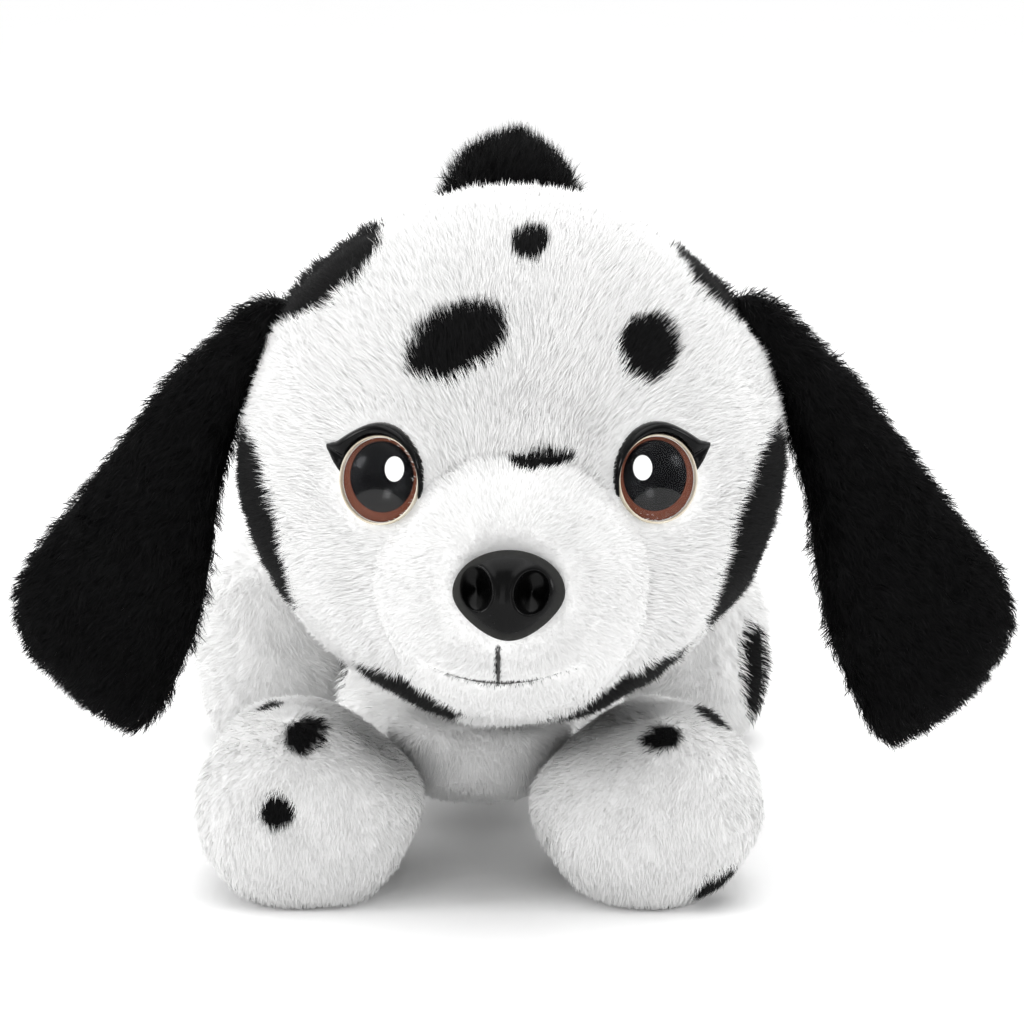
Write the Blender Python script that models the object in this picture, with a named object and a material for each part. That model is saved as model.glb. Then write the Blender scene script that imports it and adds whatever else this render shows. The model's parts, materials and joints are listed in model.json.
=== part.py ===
"""A plush spotted puppy that stands low on four stubby legs.

Metres, +Z up. The puppy faces -Y, and the origin is on the floor under the middle of its box.
Each stuffed part is a fabric skin round a fibre filling. The head hangs on a neck of packed fibre,
and the ears, legs and tail are sewn on, so each of them can swing about its own seam.
"""

import math

import bmesh
import bpy
import numpy as np
from mathutils import Matrix, Vector

# Driving sizes
WALL = 0.0016  # pile fabric with its backing
EAR_WALL = 0.0008  # the ears' thinner fabric
GAP = 0.0003  # between pieces that touch
FILL_GAP = 0.0017  # between a skin and the filling in it
LEAN = -0.008  # the torso's middle plane, beside the head's
HEAD_CENTRE = Vector((0.0, -0.034, 0.096))
NECK_CENTRE = Vector((-0.003, 0.0215, 0.0600))
NECK_RADIUS = 0.012
NECK_CLEARANCE = 0.0012

# Rows of a lofted body: place along Y, half width, half height, height of the middle.
# They are measured from the body's own centre, and a row of no size closes an end round.
HEAD_ROWS = (
    (-0.0640, 0.0000, 0.0000, -0.0180),
    (-0.0605, 0.0160, 0.0145, -0.0185),
    (-0.0540, 0.0245, 0.0225, -0.0195),
    (-0.0460, 0.0295, 0.0285, -0.0195),
    (-0.0390, 0.0340, 0.0340, -0.0160),
    (-0.0310, 0.0440, 0.0440, -0.0095),
    (-0.0200, 0.0530, 0.0530, -0.0030),
    (-0.0060, 0.0600, 0.0590, 0.0005),
    (0.0100, 0.0620, 0.0605, 0.0010),
    (0.0260, 0.0590, 0.0575, 0.0010),
    (0.0400, 0.0500, 0.0490, 0.0000),
    (0.0500, 0.0360, 0.0360, -0.0010),
    (0.0565, 0.0000, 0.0000, -0.0010),
)
MUZZLE_SEAM = -0.038  # where the muzzle panel meets the face panel, along Y
CROWN_SEAM = 0.004  # where the face panel meets the back of the head

TORSO_CENTRE = Vector((LEAN, 0.0, 0.0))
TORSO_ROWS = (
    (-0.0420, 0.0000, 0.0000, 0.0220),
    (-0.0390, 0.0075, 0.0070, 0.0220),
    (-0.0300, 0.0115, 0.0100, 0.0205),
    (-0.0180, 0.0120, 0.0115, 0.0190),
    (-0.0080, 0.0200, 0.0125, 0.0180),
    (0.0050, 0.0320, 0.0140, 0.0180),
    (0.0180, 0.0360, 0.0180, 0.0215),
    (0.0290, 0.0370, 0.0310, 0.0345),
    (0.0400, 0.0370, 0.0400, 0.0440),
    (0.0600, 0.0370, 0.0420, 0.0460),
    (0.0800, 0.0360, 0.0400, 0.0445),
    (0.0940, 0.0290, 0.0320, 0.0420),
    (0.1010, 0.0180, 0.0200, 0.0400),
    (0.1040, 0.0000, 0.0000, 0.0400),
)
BELLY_HALF_ANGLE = math.radians(48)  # the belly panel's reach to each side of straight down
BELLY_SEAM = math.radians(2)  # half the gap between the belly panel and the body's skin
BELLY_ENDS = (-0.034, 0.090)
BODY_OPENING = 0.35  # rows of the body's skin left open at each end

FRONT_LEG_X = 0.040  # from the torso's middle plane
FRONT_LEG_ROWS = (
    (-0.0820, 0.0000, 0.0000, 0.0160),
    (-0.0795, 0.0130, 0.0100, 0.0160),
    (-0.0730, 0.0210, 0.0185, 0.0168),
    (-0.0620, 0.0258, 0.0215, 0.0194),
    (-0.0480, 0.0262, 0.0215, 0.0193),
    (-0.0340, 0.0235, 0.0203, 0.0183),
    (-0.0240, 0.0190, 0.0165, 0.0205),
    (-0.0180, 0.0110, 0.0110, 0.0220),
    (-0.0160, 0.0000, 0.0000, 0.0220),
)
HIND_LEG_X = 0.058
HIND_LEG_ROWS = (
    (0.0480, 0.0000, 0.0000, 0.0140),
    (0.0500, 0.0090, 0.0090, 0.0140),
    (0.0560, 0.0155, 0.0170, 0.0153),
    (0.0660, 0.0190, 0.0250, 0.0225),
    (0.0780, 0.0195, 0.0290, 0.0261),
    (0.0890, 0.0170, 0.0260, 0.0236),
    (0.0960, 0.0100, 0.0140, 0.0240),
    (0.0985, 0.0000, 0.0000, 0.0240),
)
LEG_OPENING = 1.4  # rows of a leg's skin left open at its sewn end

TAIL_ROOT = Vector((LEAN, 0.082, 0.0865))
TAIL_TIP = Vector((-0.001, 0.080, 0.1600))
TAIL_ROWS = (
    (0.0000, 0.0000, 0.0000, 0.0000),
    (0.0030, 0.0070, 0.0070, 0.0000),
    (0.0160, 0.0100, 0.0100, 0.0000),
    (0.0340, 0.0130, 0.0120, 0.0000),
    (0.0520, 0.0155, 0.0145, 0.0000),
    (0.0650, 0.0130, 0.0120, 0.0000),
    (0.0715, 0.0065, 0.0060, 0.0000),
    (0.0738, 0.0000, 0.0000, 0.0000),
)

# The ears: rows along the ear from above its root seam down to its tip, as half width, half thickness,
# and how far the middle lies outwards of the line through the root seam.
EAR_ROOT = Vector((0.0592, -0.029, 0.1190))
EAR_SLOPE = math.radians(22.5)  # from straight down, outwards
EAR_ROWS = (
    (-0.0160, 0.0000, 0.0000, 0.0040),
    (-0.0130, 0.0032, 0.0030, 0.0046),
    (0.0080, 0.0072, 0.0044, 0.0090),
    (0.0230, 0.0108, 0.0050, 0.0104),
    (0.0360, 0.0134, 0.0052, 0.0093),
    (0.0500, 0.0174, 0.0055, 0.0090),
    (0.0630, 0.0205, 0.0055, 0.0094),
    (0.0750, 0.0205, 0.0053, 0.0090),
    (0.0830, 0.0165, 0.0048, 0.0065),
    (0.0890, 0.0090, 0.0036, 0.0020),
    (0.0920, 0.0000, 0.0000, -0.0020),
)

EYE_X = 0.0305
EYE_MIDDLE = 0.0015
EYE_HEIGHT = 0.1005
EYE_YAW = math.radians(26)
EYE_PITCH = math.radians(9)
EYE_STAND = 0.0010  # of the eye's back plane, out of the fabric at its centre
EYE_RADIUS = 0.0102
RIM_WIDTH = 0.0009
RIM_HEIGHT = 0.0020
DISC_THICK = 0.0016
LENS_EDGE = 0.0006
LENS_HEIGHT = 0.0042
POST_RADIUS = 0.0019
POST_LENGTH = 0.0090
WASHER_RADIUS = 0.0058
WASHER_THICK = 0.0014
WASHER_DEPTH = 0.0060
LID_START = math.radians(28)  # from the nose side, over the top
LID_END = math.radians(162)
LID_THIN = 0.0006
LID_SWELL = 0.0016
LID_STAND = 0.0036
LID_REACH = 0.0134
LID_FLICK_HEIGHT = 0.0044
POCKET_MARGIN = 0.0006
POCKET_OUT = 0.03  # far enough to pass the head's surface

NOSE_X = -0.0007
NOSE_HEIGHT = 0.0800
NOSE_HALF_WIDTH = 0.0120
NOSE_HALF_HEIGHT = 0.0095
NOSE_DEPTH = 0.0085
NOSE_SINK = 0.0022
NOSE_TILT = 0.22
NOSE_POST_LENGTH = 0.0110
NOSE_TAPER = 0.22  # how much the nose narrows towards its lower side
NOSE_LAYERS = ((0.0, 0.86), (0.0022, 1.0), (0.0050, 0.88), (0.0072, 0.62), (NOSE_DEPTH, 0.0))
MOUTH_X = -0.003
MOUTH_HEIGHT = 0.0588
MOUTH_HALF_WIDTH = 0.0165
MOUTH_RISE = 0.0034
PHILTRUM_TOP = 0.0680
THREAD_RADIUS = 0.0005

ROUND_STEPS = 20
SIDES = {"left": -1, "right": 1}  # as seen by someone facing the puppy


def clear_scene():
    """Removes every object of the start-up file."""
    for thing in list(bpy.data.objects):
        bpy.data.objects.remove(thing, do_unlink=True)


def material(name, colour, roughness, metallic=0.0):
    """A Principled material of one colour."""
    made = bpy.data.materials.new(name)
    made.use_nodes = True
    shader = made.node_tree.nodes["Principled BSDF"]
    shader.inputs["Base Color"].default_value = (*colour, 1.0)
    shader.inputs["Roughness"].default_value = roughness
    shader.inputs["Metallic"].default_value = metallic
    return made


def add_object(name, data, finish):
    """Links a mesh or curve to the scene as one named sub-part."""
    made = bpy.data.objects.new(name, data)
    bpy.context.scene.collection.objects.link(made)
    colour, roughness = finish
    data.materials.append(material(name, colour, roughness))
    return made


WHITE_PILE = ((0.86, 0.86, 0.85), 0.95)
BLACK_PILE = ((0.015, 0.015, 0.016), 0.85)
FIBRE = ((0.90, 0.89, 0.86), 1.0)
BLACK_PLASTIC = ((0.010, 0.010, 0.011), 0.18)
PALE_PLASTIC = ((0.72, 0.64, 0.52), 0.35)
IRIS_PAINT = ((0.20, 0.07, 0.035), 0.30)
CLEAR_PLASTIC = ((0.80, 0.85, 0.88), 0.05)
WASHER_PLASTIC = ((0.80, 0.80, 0.78), 0.50)
THREAD = ((0.05, 0.045, 0.045), 0.70)


def flowing(rows, place):
    """The row at a place counted in rows, on a smooth curve that closes round at a row of no size."""
    rows = np.array(rows)
    mirror = np.array([1.0, -1.0, -1.0, 1.0])
    padded = np.vstack([rows[1] * mirror, rows, rows[-2] * mirror])
    first = int(min(place, len(rows) - 1.000001))
    part = place - first
    before, start, end, after = padded[first : first + 4]
    bend = 2 * before - 5 * start + 4 * end - after
    twist = 3 * start - before - 3 * end + after
    return 0.5 * (2 * start + (end - before) * part + bend * part**2 + twist * part**3)


def place_of(rows, along):
    """The place, counted in rows, where a lofted body reaches a distance along its length."""
    places = np.linspace(0, len(rows) - 1, 400)
    reached = [flowing(rows, place)[0] for place in places]
    return float(np.interp(along, reached, places))


def loft_grid(rows, places, angles):
    """Rings of points round a lofted body's length, which runs along Y, before it is put in place."""
    rings = []
    for place in places:
        along, half_width, half_height, middle = flowing(rows, place)
        ring = []
        for angle in angles:
            across = half_width * math.cos(angle)
            up = middle + half_height * math.sin(angle)
            ring.append(Vector((across, along, up)))
        rings.append(ring)
    return rings


def is_pole(ring):
    """True where a ring has shrunk to one point."""
    return (ring[0] - ring[len(ring) // 2]).length < 1e-5


def skin_rings(shape, rings, closed_round):
    """Adds a grid of rings to a bmesh, facing out. A ring of no size becomes one point."""
    stored = []
    for ring in rings:
        points = ring[:1] if is_pole(ring) else ring
        stored.append([shape.verts.new(point) for point in points])
    count = len(rings[0])
    spans = count if closed_round else count - 1
    for lower, upper in zip(stored, stored[1:]):
        for i in range(spans):
            j = (i + 1) % count
            corners = [lower[i % len(lower)], lower[j % len(lower)]]
            corners += [upper[j % len(upper)], upper[i % len(upper)]]
            kept = []
            for corner in corners:
                if corner not in kept:
                    kept.append(corner)
            shape.faces.new(kept[::-1])


def finished_mesh(name, shape, smooth=True):
    """Turns a bmesh into a mesh and frees it."""
    data = bpy.data.meshes.new(name)
    shape.to_mesh(data)
    shape.free()
    if smooth:
        data.shade_smooth()
    return data


def ring_angles(count):
    """Angles all round a closed ring."""
    return [2 * math.pi * i / count for i in range(count)]


def set_in_place(rings, centre, floor):
    """Moves rings to their centre and flattens what would pass below the floor."""
    placed = []
    for ring in rings:
        moved = [point + centre for point in ring]
        if floor is not None:
            moved = [Vector((p.x, p.y, max(p.z, floor))) for p in moved]
        placed.append(moved)
    return placed


def open_skin(name, rings, finish, closed_round=True, thickness=WALL):
    """A fabric panel: an open surface thickened inwards."""
    shape = bmesh.new()
    skin_rings(shape, rings, closed_round)
    made = add_object(name, finished_mesh(name, shape), finish)
    wall = made.modifiers.new("wall", "SOLIDIFY")
    wall.thickness = thickness
    wall.offset = -1
    wall.use_even_offset = closed_round
    return made


def filling(name, rings, finish=FIBRE):
    """The fibre inside a skin: the same closed surface, shrunk by the skin's wall."""
    shape = bmesh.new()
    skin_rings(shape, rings, closed_round=True)
    bmesh.ops.recalc_face_normals(shape, faces=shape.faces)
    shape.normal_update()
    moves = [(vert, vert.normal * (WALL + FILL_GAP)) for vert in shape.verts]
    for vert, move in moves:
        vert.co -= move
    return add_object(name, finished_mesh(name, shape), finish)


def turned_mesh(name, profile, matrix, ring_shaped=False):
    """A solid turned round the local Z axis from (radius, height) points, then placed by a matrix."""
    shape = bmesh.new()
    rings = []
    for radius, height in profile:
        count = 1 if radius < 1e-6 else ROUND_STEPS
        ring = []
        for angle in ring_angles(count):
            point = Vector((radius * math.cos(angle), radius * math.sin(angle), height))
            ring.append(shape.verts.new(matrix @ point))
        rings.append(ring)
    pairs = list(zip(rings, rings[1:]))
    if ring_shaped:
        pairs.append((rings[-1], rings[0]))
    for lower, upper in pairs:
        for i in range(ROUND_STEPS):
            j = (i + 1) % ROUND_STEPS
            corners = [lower[i % len(lower)], lower[j % len(lower)]]
            corners += [upper[j % len(upper)], upper[i % len(upper)]]
            kept = []
            for corner in corners:
                if corner not in kept:
                    kept.append(corner)
            if len(kept) > 2:
                shape.faces.new(kept)
    bmesh.ops.recalc_face_normals(shape, faces=shape.faces)
    data = finished_mesh(name, shape)
    data.set_sharp_from_angle(angle=math.radians(40))
    return data


def turned(name, profile, matrix, finish, ring_shaped=False):
    """A turned piece as its own sub-part."""
    return add_object(name, turned_mesh(name, profile, matrix, ring_shaped), finish)


def cutter_from(name, data):
    """A shape that only cuts others."""
    made = bpy.data.objects.new(name, data)
    bpy.context.scene.collection.objects.link(made)
    made.hide_render = True
    made.display_type = "WIRE"
    return made


def cut(target, cutter):
    """Takes the cutter's shape out of the target."""
    step = target.modifiers.new(cutter.name, "BOOLEAN")
    step.operation = "DIFFERENCE"
    step.solver = "EXACT"
    step.object = cutter


def head_surface(across, height):
    """The point of the head's front at a place across and a height, and its outward normal."""

    def front(x, z):
        places = np.linspace(0.02, 7.5, 1500)
        for place in places:
            along, half_width, half_height, middle = flowing(HEAD_ROWS, place)
            reach = ((x - HEAD_CENTRE.x) / half_width) ** 2
            reach += ((z - HEAD_CENTRE.z - middle) / half_height) ** 2
            if reach <= 1:
                return along + HEAD_CENTRE.y
        raise ValueError("that place is beside the head")

    step = 0.001
    here = front(across, height)
    slope_x = (front(across + step, height) - here) / step
    slope_z = (front(across, height + step) - here) / step
    normal = Vector((slope_x, -1.0, slope_z)).normalized()
    return Vector((across, here, height)), normal


def facing(origin, outwards):
    """A matrix with its Z along outwards, its Y up and its X to the right of someone facing the puppy."""
    z_axis = outwards.normalized()
    x_axis = Vector((0, 0, 1)).cross(z_axis).normalized()
    y_axis = z_axis.cross(x_axis)
    turn = Matrix((x_axis, y_axis, z_axis)).transposed().to_4x4()
    return Matrix.Translation(origin) @ turn


def make_head():
    """The three sewn panels of the head and the fibre in them."""
    last = len(HEAD_ROWS) - 1
    muzzle = place_of(HEAD_ROWS, MUZZLE_SEAM)
    crown = place_of(HEAD_ROWS, CROWN_SEAM)
    half_gap = 0.012  # in rows, which makes about 0.3 mm between two panels
    spans = {
        "muzzle_panel": (0, muzzle - half_gap, 5),
        "face_panel": (muzzle + half_gap, crown - half_gap, 6),
        "head_back": (crown + half_gap, last, 6),
    }
    angles = ring_angles(28)
    panels = []
    for name, (start, end, steps) in spans.items():
        rings = loft_grid(HEAD_ROWS, np.linspace(start, end, steps + 1), angles)
        rings = set_in_place(rings, HEAD_CENTRE, None)
        panels.append(open_skin(name, rings, WHITE_PILE))
    rings = loft_grid(HEAD_ROWS, np.linspace(0, last, 16), angles)
    fibre = filling("head_stuffing", set_in_place(rings, HEAD_CENTRE, None))
    return panels, fibre


def eye_matrix(side):
    """Where an eye's back plane sits, facing out."""
    origin, _ = head_surface(EYE_MIDDLE + side * EYE_X, EYE_HEIGHT)
    outwards = Vector(
        (
            side * math.sin(EYE_YAW) * math.cos(EYE_PITCH),
            -math.cos(EYE_YAW) * math.cos(EYE_PITCH),
            math.sin(EYE_PITCH),
        )
    )
    return facing(origin + outwards * EYE_STAND, outwards)


def lid_outline(side):
    """The eyelid seen from the eye's front: an arc over it, thicker outwards, with a pointed flick."""
    inner_radius = EYE_RADIUS + GAP
    upper, lower = [], []
    for share in np.linspace(0, 1, 13):
        angle = LID_START + (LID_END - LID_START) * share
        thick = LID_THIN + LID_SWELL * math.sin(math.pi * share) ** 0.7 + LID_THIN * share
        direction = Vector((-side * math.cos(angle), math.sin(angle), 0.0))
        upper.append(direction * (inner_radius + thick))
        lower.append(direction * inner_radius)
    flick = Vector((side * LID_REACH, LID_FLICK_HEIGHT, 0.0))
    return upper + [flick] + lower[::-1]


def make_lid(name, side, matrix):
    """The moulded eyelid, extruded from its outline."""
    shape = bmesh.new()
    back = Vector((0, 0, -LID_THIN))
    corners = [shape.verts.new(matrix @ (point + back)) for point in lid_outline(side)]
    face = shape.faces.new(corners)
    grown = bmesh.ops.extrude_face_region(shape, geom=[face])
    top = [item for item in grown["geom"] if isinstance(item, bmesh.types.BMVert)]
    outwards = matrix.to_3x3() @ Vector((0, 0, LID_STAND))
    bmesh.ops.translate(shape, verts=top, vec=outwards)
    bmesh.ops.recalc_face_normals(shape, faces=shape.faces)
    return add_object(name, finished_mesh(name, shape, smooth=False), BLACK_PLASTIC)


def washer_profile(depth):
    """A flat ring round a post, its front face at a depth behind the back plane."""
    hole = POST_RADIUS + GAP
    return [
        (hole, -depth - WASHER_THICK),
        (WASHER_RADIUS, -depth - WASHER_THICK),
        (WASHER_RADIUS, -depth),
        (hole, -depth),
    ]


def cut_pocket(name, matrix, depth, back, radius, panels):
    """Makes room in the head for a fitting: its flange in front, its post and washer behind."""
    narrow = WASHER_RADIUS + POCKET_MARGIN
    wide = radius + POCKET_MARGIN
    profile = [
        (0, -depth - POCKET_MARGIN),
        (narrow, -depth - POCKET_MARGIN),
        (narrow, back - POCKET_MARGIN),
        (wide, back - POCKET_MARGIN),
        (wide, POCKET_OUT),
        (0, POCKET_OUT),
    ]
    cutter = cutter_from(name, turned_mesh(name, profile, matrix))
    for panel in panels:
        cut(panel, cutter)


def make_eye(side_name, side, panels):
    """One safety eye: rim, painted disc with its post, clear dome, eyelid and lock washer."""
    matrix = eye_matrix(side)
    name = f"eye_{side_name}"
    rim_inside = EYE_RADIUS - RIM_WIDTH
    disc = rim_inside - GAP
    back = -DISC_THICK / 2
    rim = [
        (rim_inside, back),
        (EYE_RADIUS, back),
        (EYE_RADIUS, RIM_HEIGHT / 2),
        (rim_inside, RIM_HEIGHT),
    ]
    turned(f"{name}_rim", rim, matrix, PALE_PLASTIC, ring_shaped=True)
    iris = [
        (0, -POST_LENGTH),
        (POST_RADIUS, -POST_LENGTH),
        (POST_RADIUS, back),
        (disc, back),
        (disc, -back),
        (0, -back),
    ]
    turned(f"{name}_iris", iris, matrix, IRIS_PAINT)
    base = GAP - back
    lens = [(0, base), (disc, base)]
    for angle in np.linspace(0, math.pi / 2, 7):
        lens.append((disc * math.cos(angle), base + LENS_EDGE + LENS_HEIGHT * math.sin(angle)))
    turned(f"{name}_lens", lens, matrix, CLEAR_PLASTIC)
    make_lid(f"{name}_lid", side, matrix)
    washer = washer_profile(WASHER_DEPTH)
    turned(f"{name}_washer", washer, matrix, WASHER_PLASTIC, ring_shaped=True)
    cut_pocket(f"{name}_pocket", matrix, POST_LENGTH, back, LID_REACH, panels)


def nose_matrix():
    """Where the nose's back plane sits, facing out."""
    origin, _ = head_surface(NOSE_X, NOSE_HEIGHT)
    return facing(origin + Vector((0, NOSE_SINK, 0)), Vector((0.0, -1.0, NOSE_TILT)))


def make_nose(panels):
    """The moulded nose, a rounded triangle with its post, and the lock washer."""
    matrix = nose_matrix()
    shape = bmesh.new()
    rings = []
    post = [(-NOSE_POST_LENGTH, 0.0), (-NOSE_POST_LENGTH, 1.0), (0.0, 1.0)]
    angles = ring_angles(ROUND_STEPS)
    for height, share in post:
        ring = [Vector((math.cos(a), math.sin(a), 0)) * POST_RADIUS * share for a in angles]
        rings.append([matrix @ (point + Vector((0, 0, height))) for point in ring])
    for height, share in NOSE_LAYERS:
        ring = []
        for angle in angles:
            narrow = 1 - NOSE_TAPER * max(0.0, -math.sin(angle)) ** 1.5
            across = NOSE_HALF_WIDTH * share * math.cos(angle) * narrow
            up = NOSE_HALF_HEIGHT * share * math.sin(angle)
            ring.append(matrix @ Vector((across, up, height)))
        rings.append(ring)
    skin_rings(shape, rings, closed_round=True)
    bmesh.ops.recalc_face_normals(shape, faces=shape.faces)
    add_object("nose", finished_mesh("nose", shape), BLACK_PLASTIC)
    washer = washer_profile(NOSE_POST_LENGTH - 0.003)
    turned("nose_washer", washer, matrix, WASHER_PLASTIC, ring_shaped=True)
    cut_pocket("nose_pocket", matrix, NOSE_POST_LENGTH, 0.0, NOSE_HALF_WIDTH, panels)


def make_thread(name, places):
    """An embroidery thread that lies on the muzzle through places given as (across, height)."""
    line = bpy.data.curves.new(name, "CURVE")
    line.dimensions = "3D"
    line.bevel_depth = THREAD_RADIUS
    line.bevel_resolution = 2
    line.use_fill_caps = True
    spline = line.splines.new("POLY")
    spline.points.add(len(places) - 1)
    for point, (across, height) in zip(spline.points, places):
        surface, normal = head_surface(across, height)
        point.co = (*(surface + normal * (THREAD_RADIUS + GAP)), 1.0)
    return add_object(name, line, THREAD)


def make_mouth():
    """The smile and the short upright stitch over it."""
    smile = []
    for share in np.linspace(-1, 1, 15):
        across = MOUTH_X + share * MOUTH_HALF_WIDTH
        smile.append((across, MOUTH_HEIGHT + MOUTH_RISE * share * share))
    make_thread("mouth_smile", smile)
    low = MOUTH_HEIGHT + 0.0022
    upright = [(MOUTH_X, low + (PHILTRUM_TOP - low) * share) for share in np.linspace(0, 1, 6)]
    make_thread("mouth_philtrum", upright)


def ear_rings(side, places, angles):
    """Rings round an ear, laid along its slope out of the root seam."""
    down = Vector((side * math.sin(EAR_SLOPE), 0, -math.cos(EAR_SLOPE)))
    outwards = Vector((side * math.cos(EAR_SLOPE), 0, math.sin(EAR_SLOPE)))
    root = Vector((side * EAR_ROOT.x, EAR_ROOT.y, EAR_ROOT.z))
    rings = []
    for place in places:
        along, half_width, half_thick, shift = flowing(EAR_ROWS, place)
        ring = []
        for angle in angles:
            point = root + down * along
            point = point + outwards * (shift + half_width * math.cos(angle))
            point = point - Vector((0, half_thick * math.sin(angle), 0))
            ring.append(point)
        rings.append(ring[::-1] if side > 0 else ring)
    return rings


def make_ear(side_name, side):
    """An ear: a front and a back panel sewn round their edge, with thin padding between."""
    last = len(EAR_ROWS) - 1
    places = np.linspace(0.75, last - 0.6, 14)
    edge = math.radians(10)
    halves = {"front": (edge, math.pi - edge), "back": (math.pi + edge, 2 * math.pi - edge)}
    for half, (start, end) in halves.items():
        rings = ear_rings(side, places, np.linspace(start, end, 9))
        open_skin(f"ear_{side_name}_{half}", rings, BLACK_PILE, closed_round=False, thickness=EAR_WALL)
    rings = ear_rings(side, np.linspace(1.2, last - 0.7, 12), ring_angles(16))
    padding = bmesh.new()
    skin_rings(padding, rings, closed_round=True)
    ends = [edge for edge in padding.edges if edge.is_boundary]
    caps = bmesh.ops.holes_fill(padding, edges=ends)["faces"]
    bmesh.ops.poke(padding, faces=caps)
    bmesh.ops.recalc_face_normals(padding, faces=padding.faces)
    padding.normal_update()
    moves = [(vert, vert.normal * (EAR_WALL + FILL_GAP)) for vert in padding.verts]
    for vert, move in moves:
        vert.co -= move
    name = f"ear_{side_name}_padding"
    add_object(name, finished_mesh(name, padding), FIBRE)


def ball_profile(radius):
    """Half a circle, to turn into a ball."""
    angles = np.linspace(-math.pi / 2, math.pi / 2, 11)
    return [(radius * math.cos(angle), radius * math.sin(angle)) for angle in angles]


def make_neck(head_parts, torso_parts):
    """The ball of packed fibre in the neck opening, and the room for it in both skins and fillings."""
    matrix = Matrix.Translation(NECK_CENTRE)
    turned("neck_stuffing", ball_profile(NECK_RADIUS), matrix, FIBRE)
    room = ball_profile(NECK_RADIUS + NECK_CLEARANCE)
    cutter = cutter_from("neck_room", turned_mesh("neck_room", room, matrix))
    for part in head_parts + torso_parts:
        cut(part, cutter)


def make_torso():
    """The back and side skin, the belly panel and the filling."""
    last = len(TORSO_ROWS) - 1
    down = -math.pi / 2
    inner = BELLY_HALF_ANGLE - BELLY_SEAM
    outer = BELLY_HALF_ANGLE + BELLY_SEAM
    angles = np.linspace(down + outer, down + 2 * math.pi - outer, 20)
    rings = loft_grid(TORSO_ROWS, np.linspace(BODY_OPENING, last - BODY_OPENING, 15), angles)
    rings = set_in_place(rings, TORSO_CENTRE, None)
    skin = open_skin("body_skin", rings, WHITE_PILE, closed_round=False)
    start, end = (place_of(TORSO_ROWS, along) for along in BELLY_ENDS)
    angles = np.linspace(down - inner, down + inner, 8)
    rings = loft_grid(TORSO_ROWS, np.linspace(start, end, 13), angles)
    rings = set_in_place(rings, TORSO_CENTRE, None)
    belly = open_skin("belly_panel", rings, WHITE_PILE, closed_round=False)
    rings = loft_grid(TORSO_ROWS, np.linspace(0, last, 17), ring_angles(22))
    fibre = filling("body_stuffing", set_in_place(rings, TORSO_CENTRE, None))
    return [skin, belly, fibre]


def make_leg(name, rows, across, start, end):
    """A leg: a skin sleeve from one row to another, open where it is sewn on, and its filling.
    Its sole is flat, on the floor."""
    last = len(rows) - 1
    centre = Vector((across, 0.0, 0.0))
    angles = ring_angles(16)
    rings = loft_grid(rows, np.linspace(start, end, 9), angles)
    open_skin(f"{name}_skin", set_in_place(rings, centre, 0.0), WHITE_PILE)
    rings = loft_grid(rows, np.linspace(0, last, 10), angles)
    filling(f"{name}_stuffing", set_in_place(rings, centre, 0.0))


def make_legs():
    """Two front and two hind legs, each beside the torso."""
    for side_name, side in SIDES.items():
        front = LEAN + side * FRONT_LEG_X
        sewn_end = len(FRONT_LEG_ROWS) - 1 - LEG_OPENING
        make_leg(f"front_{side_name}_leg", FRONT_LEG_ROWS, front, 0, sewn_end)
        hind = LEAN + side * HIND_LEG_X
        make_leg(f"hind_{side_name}_leg", HIND_LEG_ROWS, hind, LEG_OPENING, len(HIND_LEG_ROWS) - 1)


def make_tail():
    """The tail: a sleeve that stands up on the rump, with its filling."""
    up = (TAIL_TIP - TAIL_ROOT).normalized()
    side = Vector((0, 1, 0)).cross(up).normalized()
    back = up.cross(side)
    turn = Matrix((side, up, -back)).transposed().to_4x4()
    matrix = Matrix.Translation(TAIL_ROOT) @ turn
    last = len(TAIL_ROWS) - 1
    for name, start in (("tail_skin", 1.0), ("tail_stuffing", 0.0)):
        rings = loft_grid(TAIL_ROWS, np.linspace(start, last, 9), ring_angles(12))
        rings = [[matrix @ point for point in ring] for ring in rings]
        if name == "tail_skin":
            open_skin(name, rings, BLACK_PILE)
        else:
            filling(name, rings)


def main():
    clear_scene()
    panels, fibre = make_head()
    for side_name, side in SIDES.items():
        make_eye(side_name, side, panels[:2] + [fibre])
        make_ear(side_name, side)
    make_nose([panels[0], fibre])
    make_mouth()
    torso = make_torso()
    make_neck([panels[2], fibre], torso)
    make_legs()
    make_tail()


main()
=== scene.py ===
import json
import math

import bmesh
import bpy
import numpy as np
from mathutils import Matrix, Vector


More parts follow.
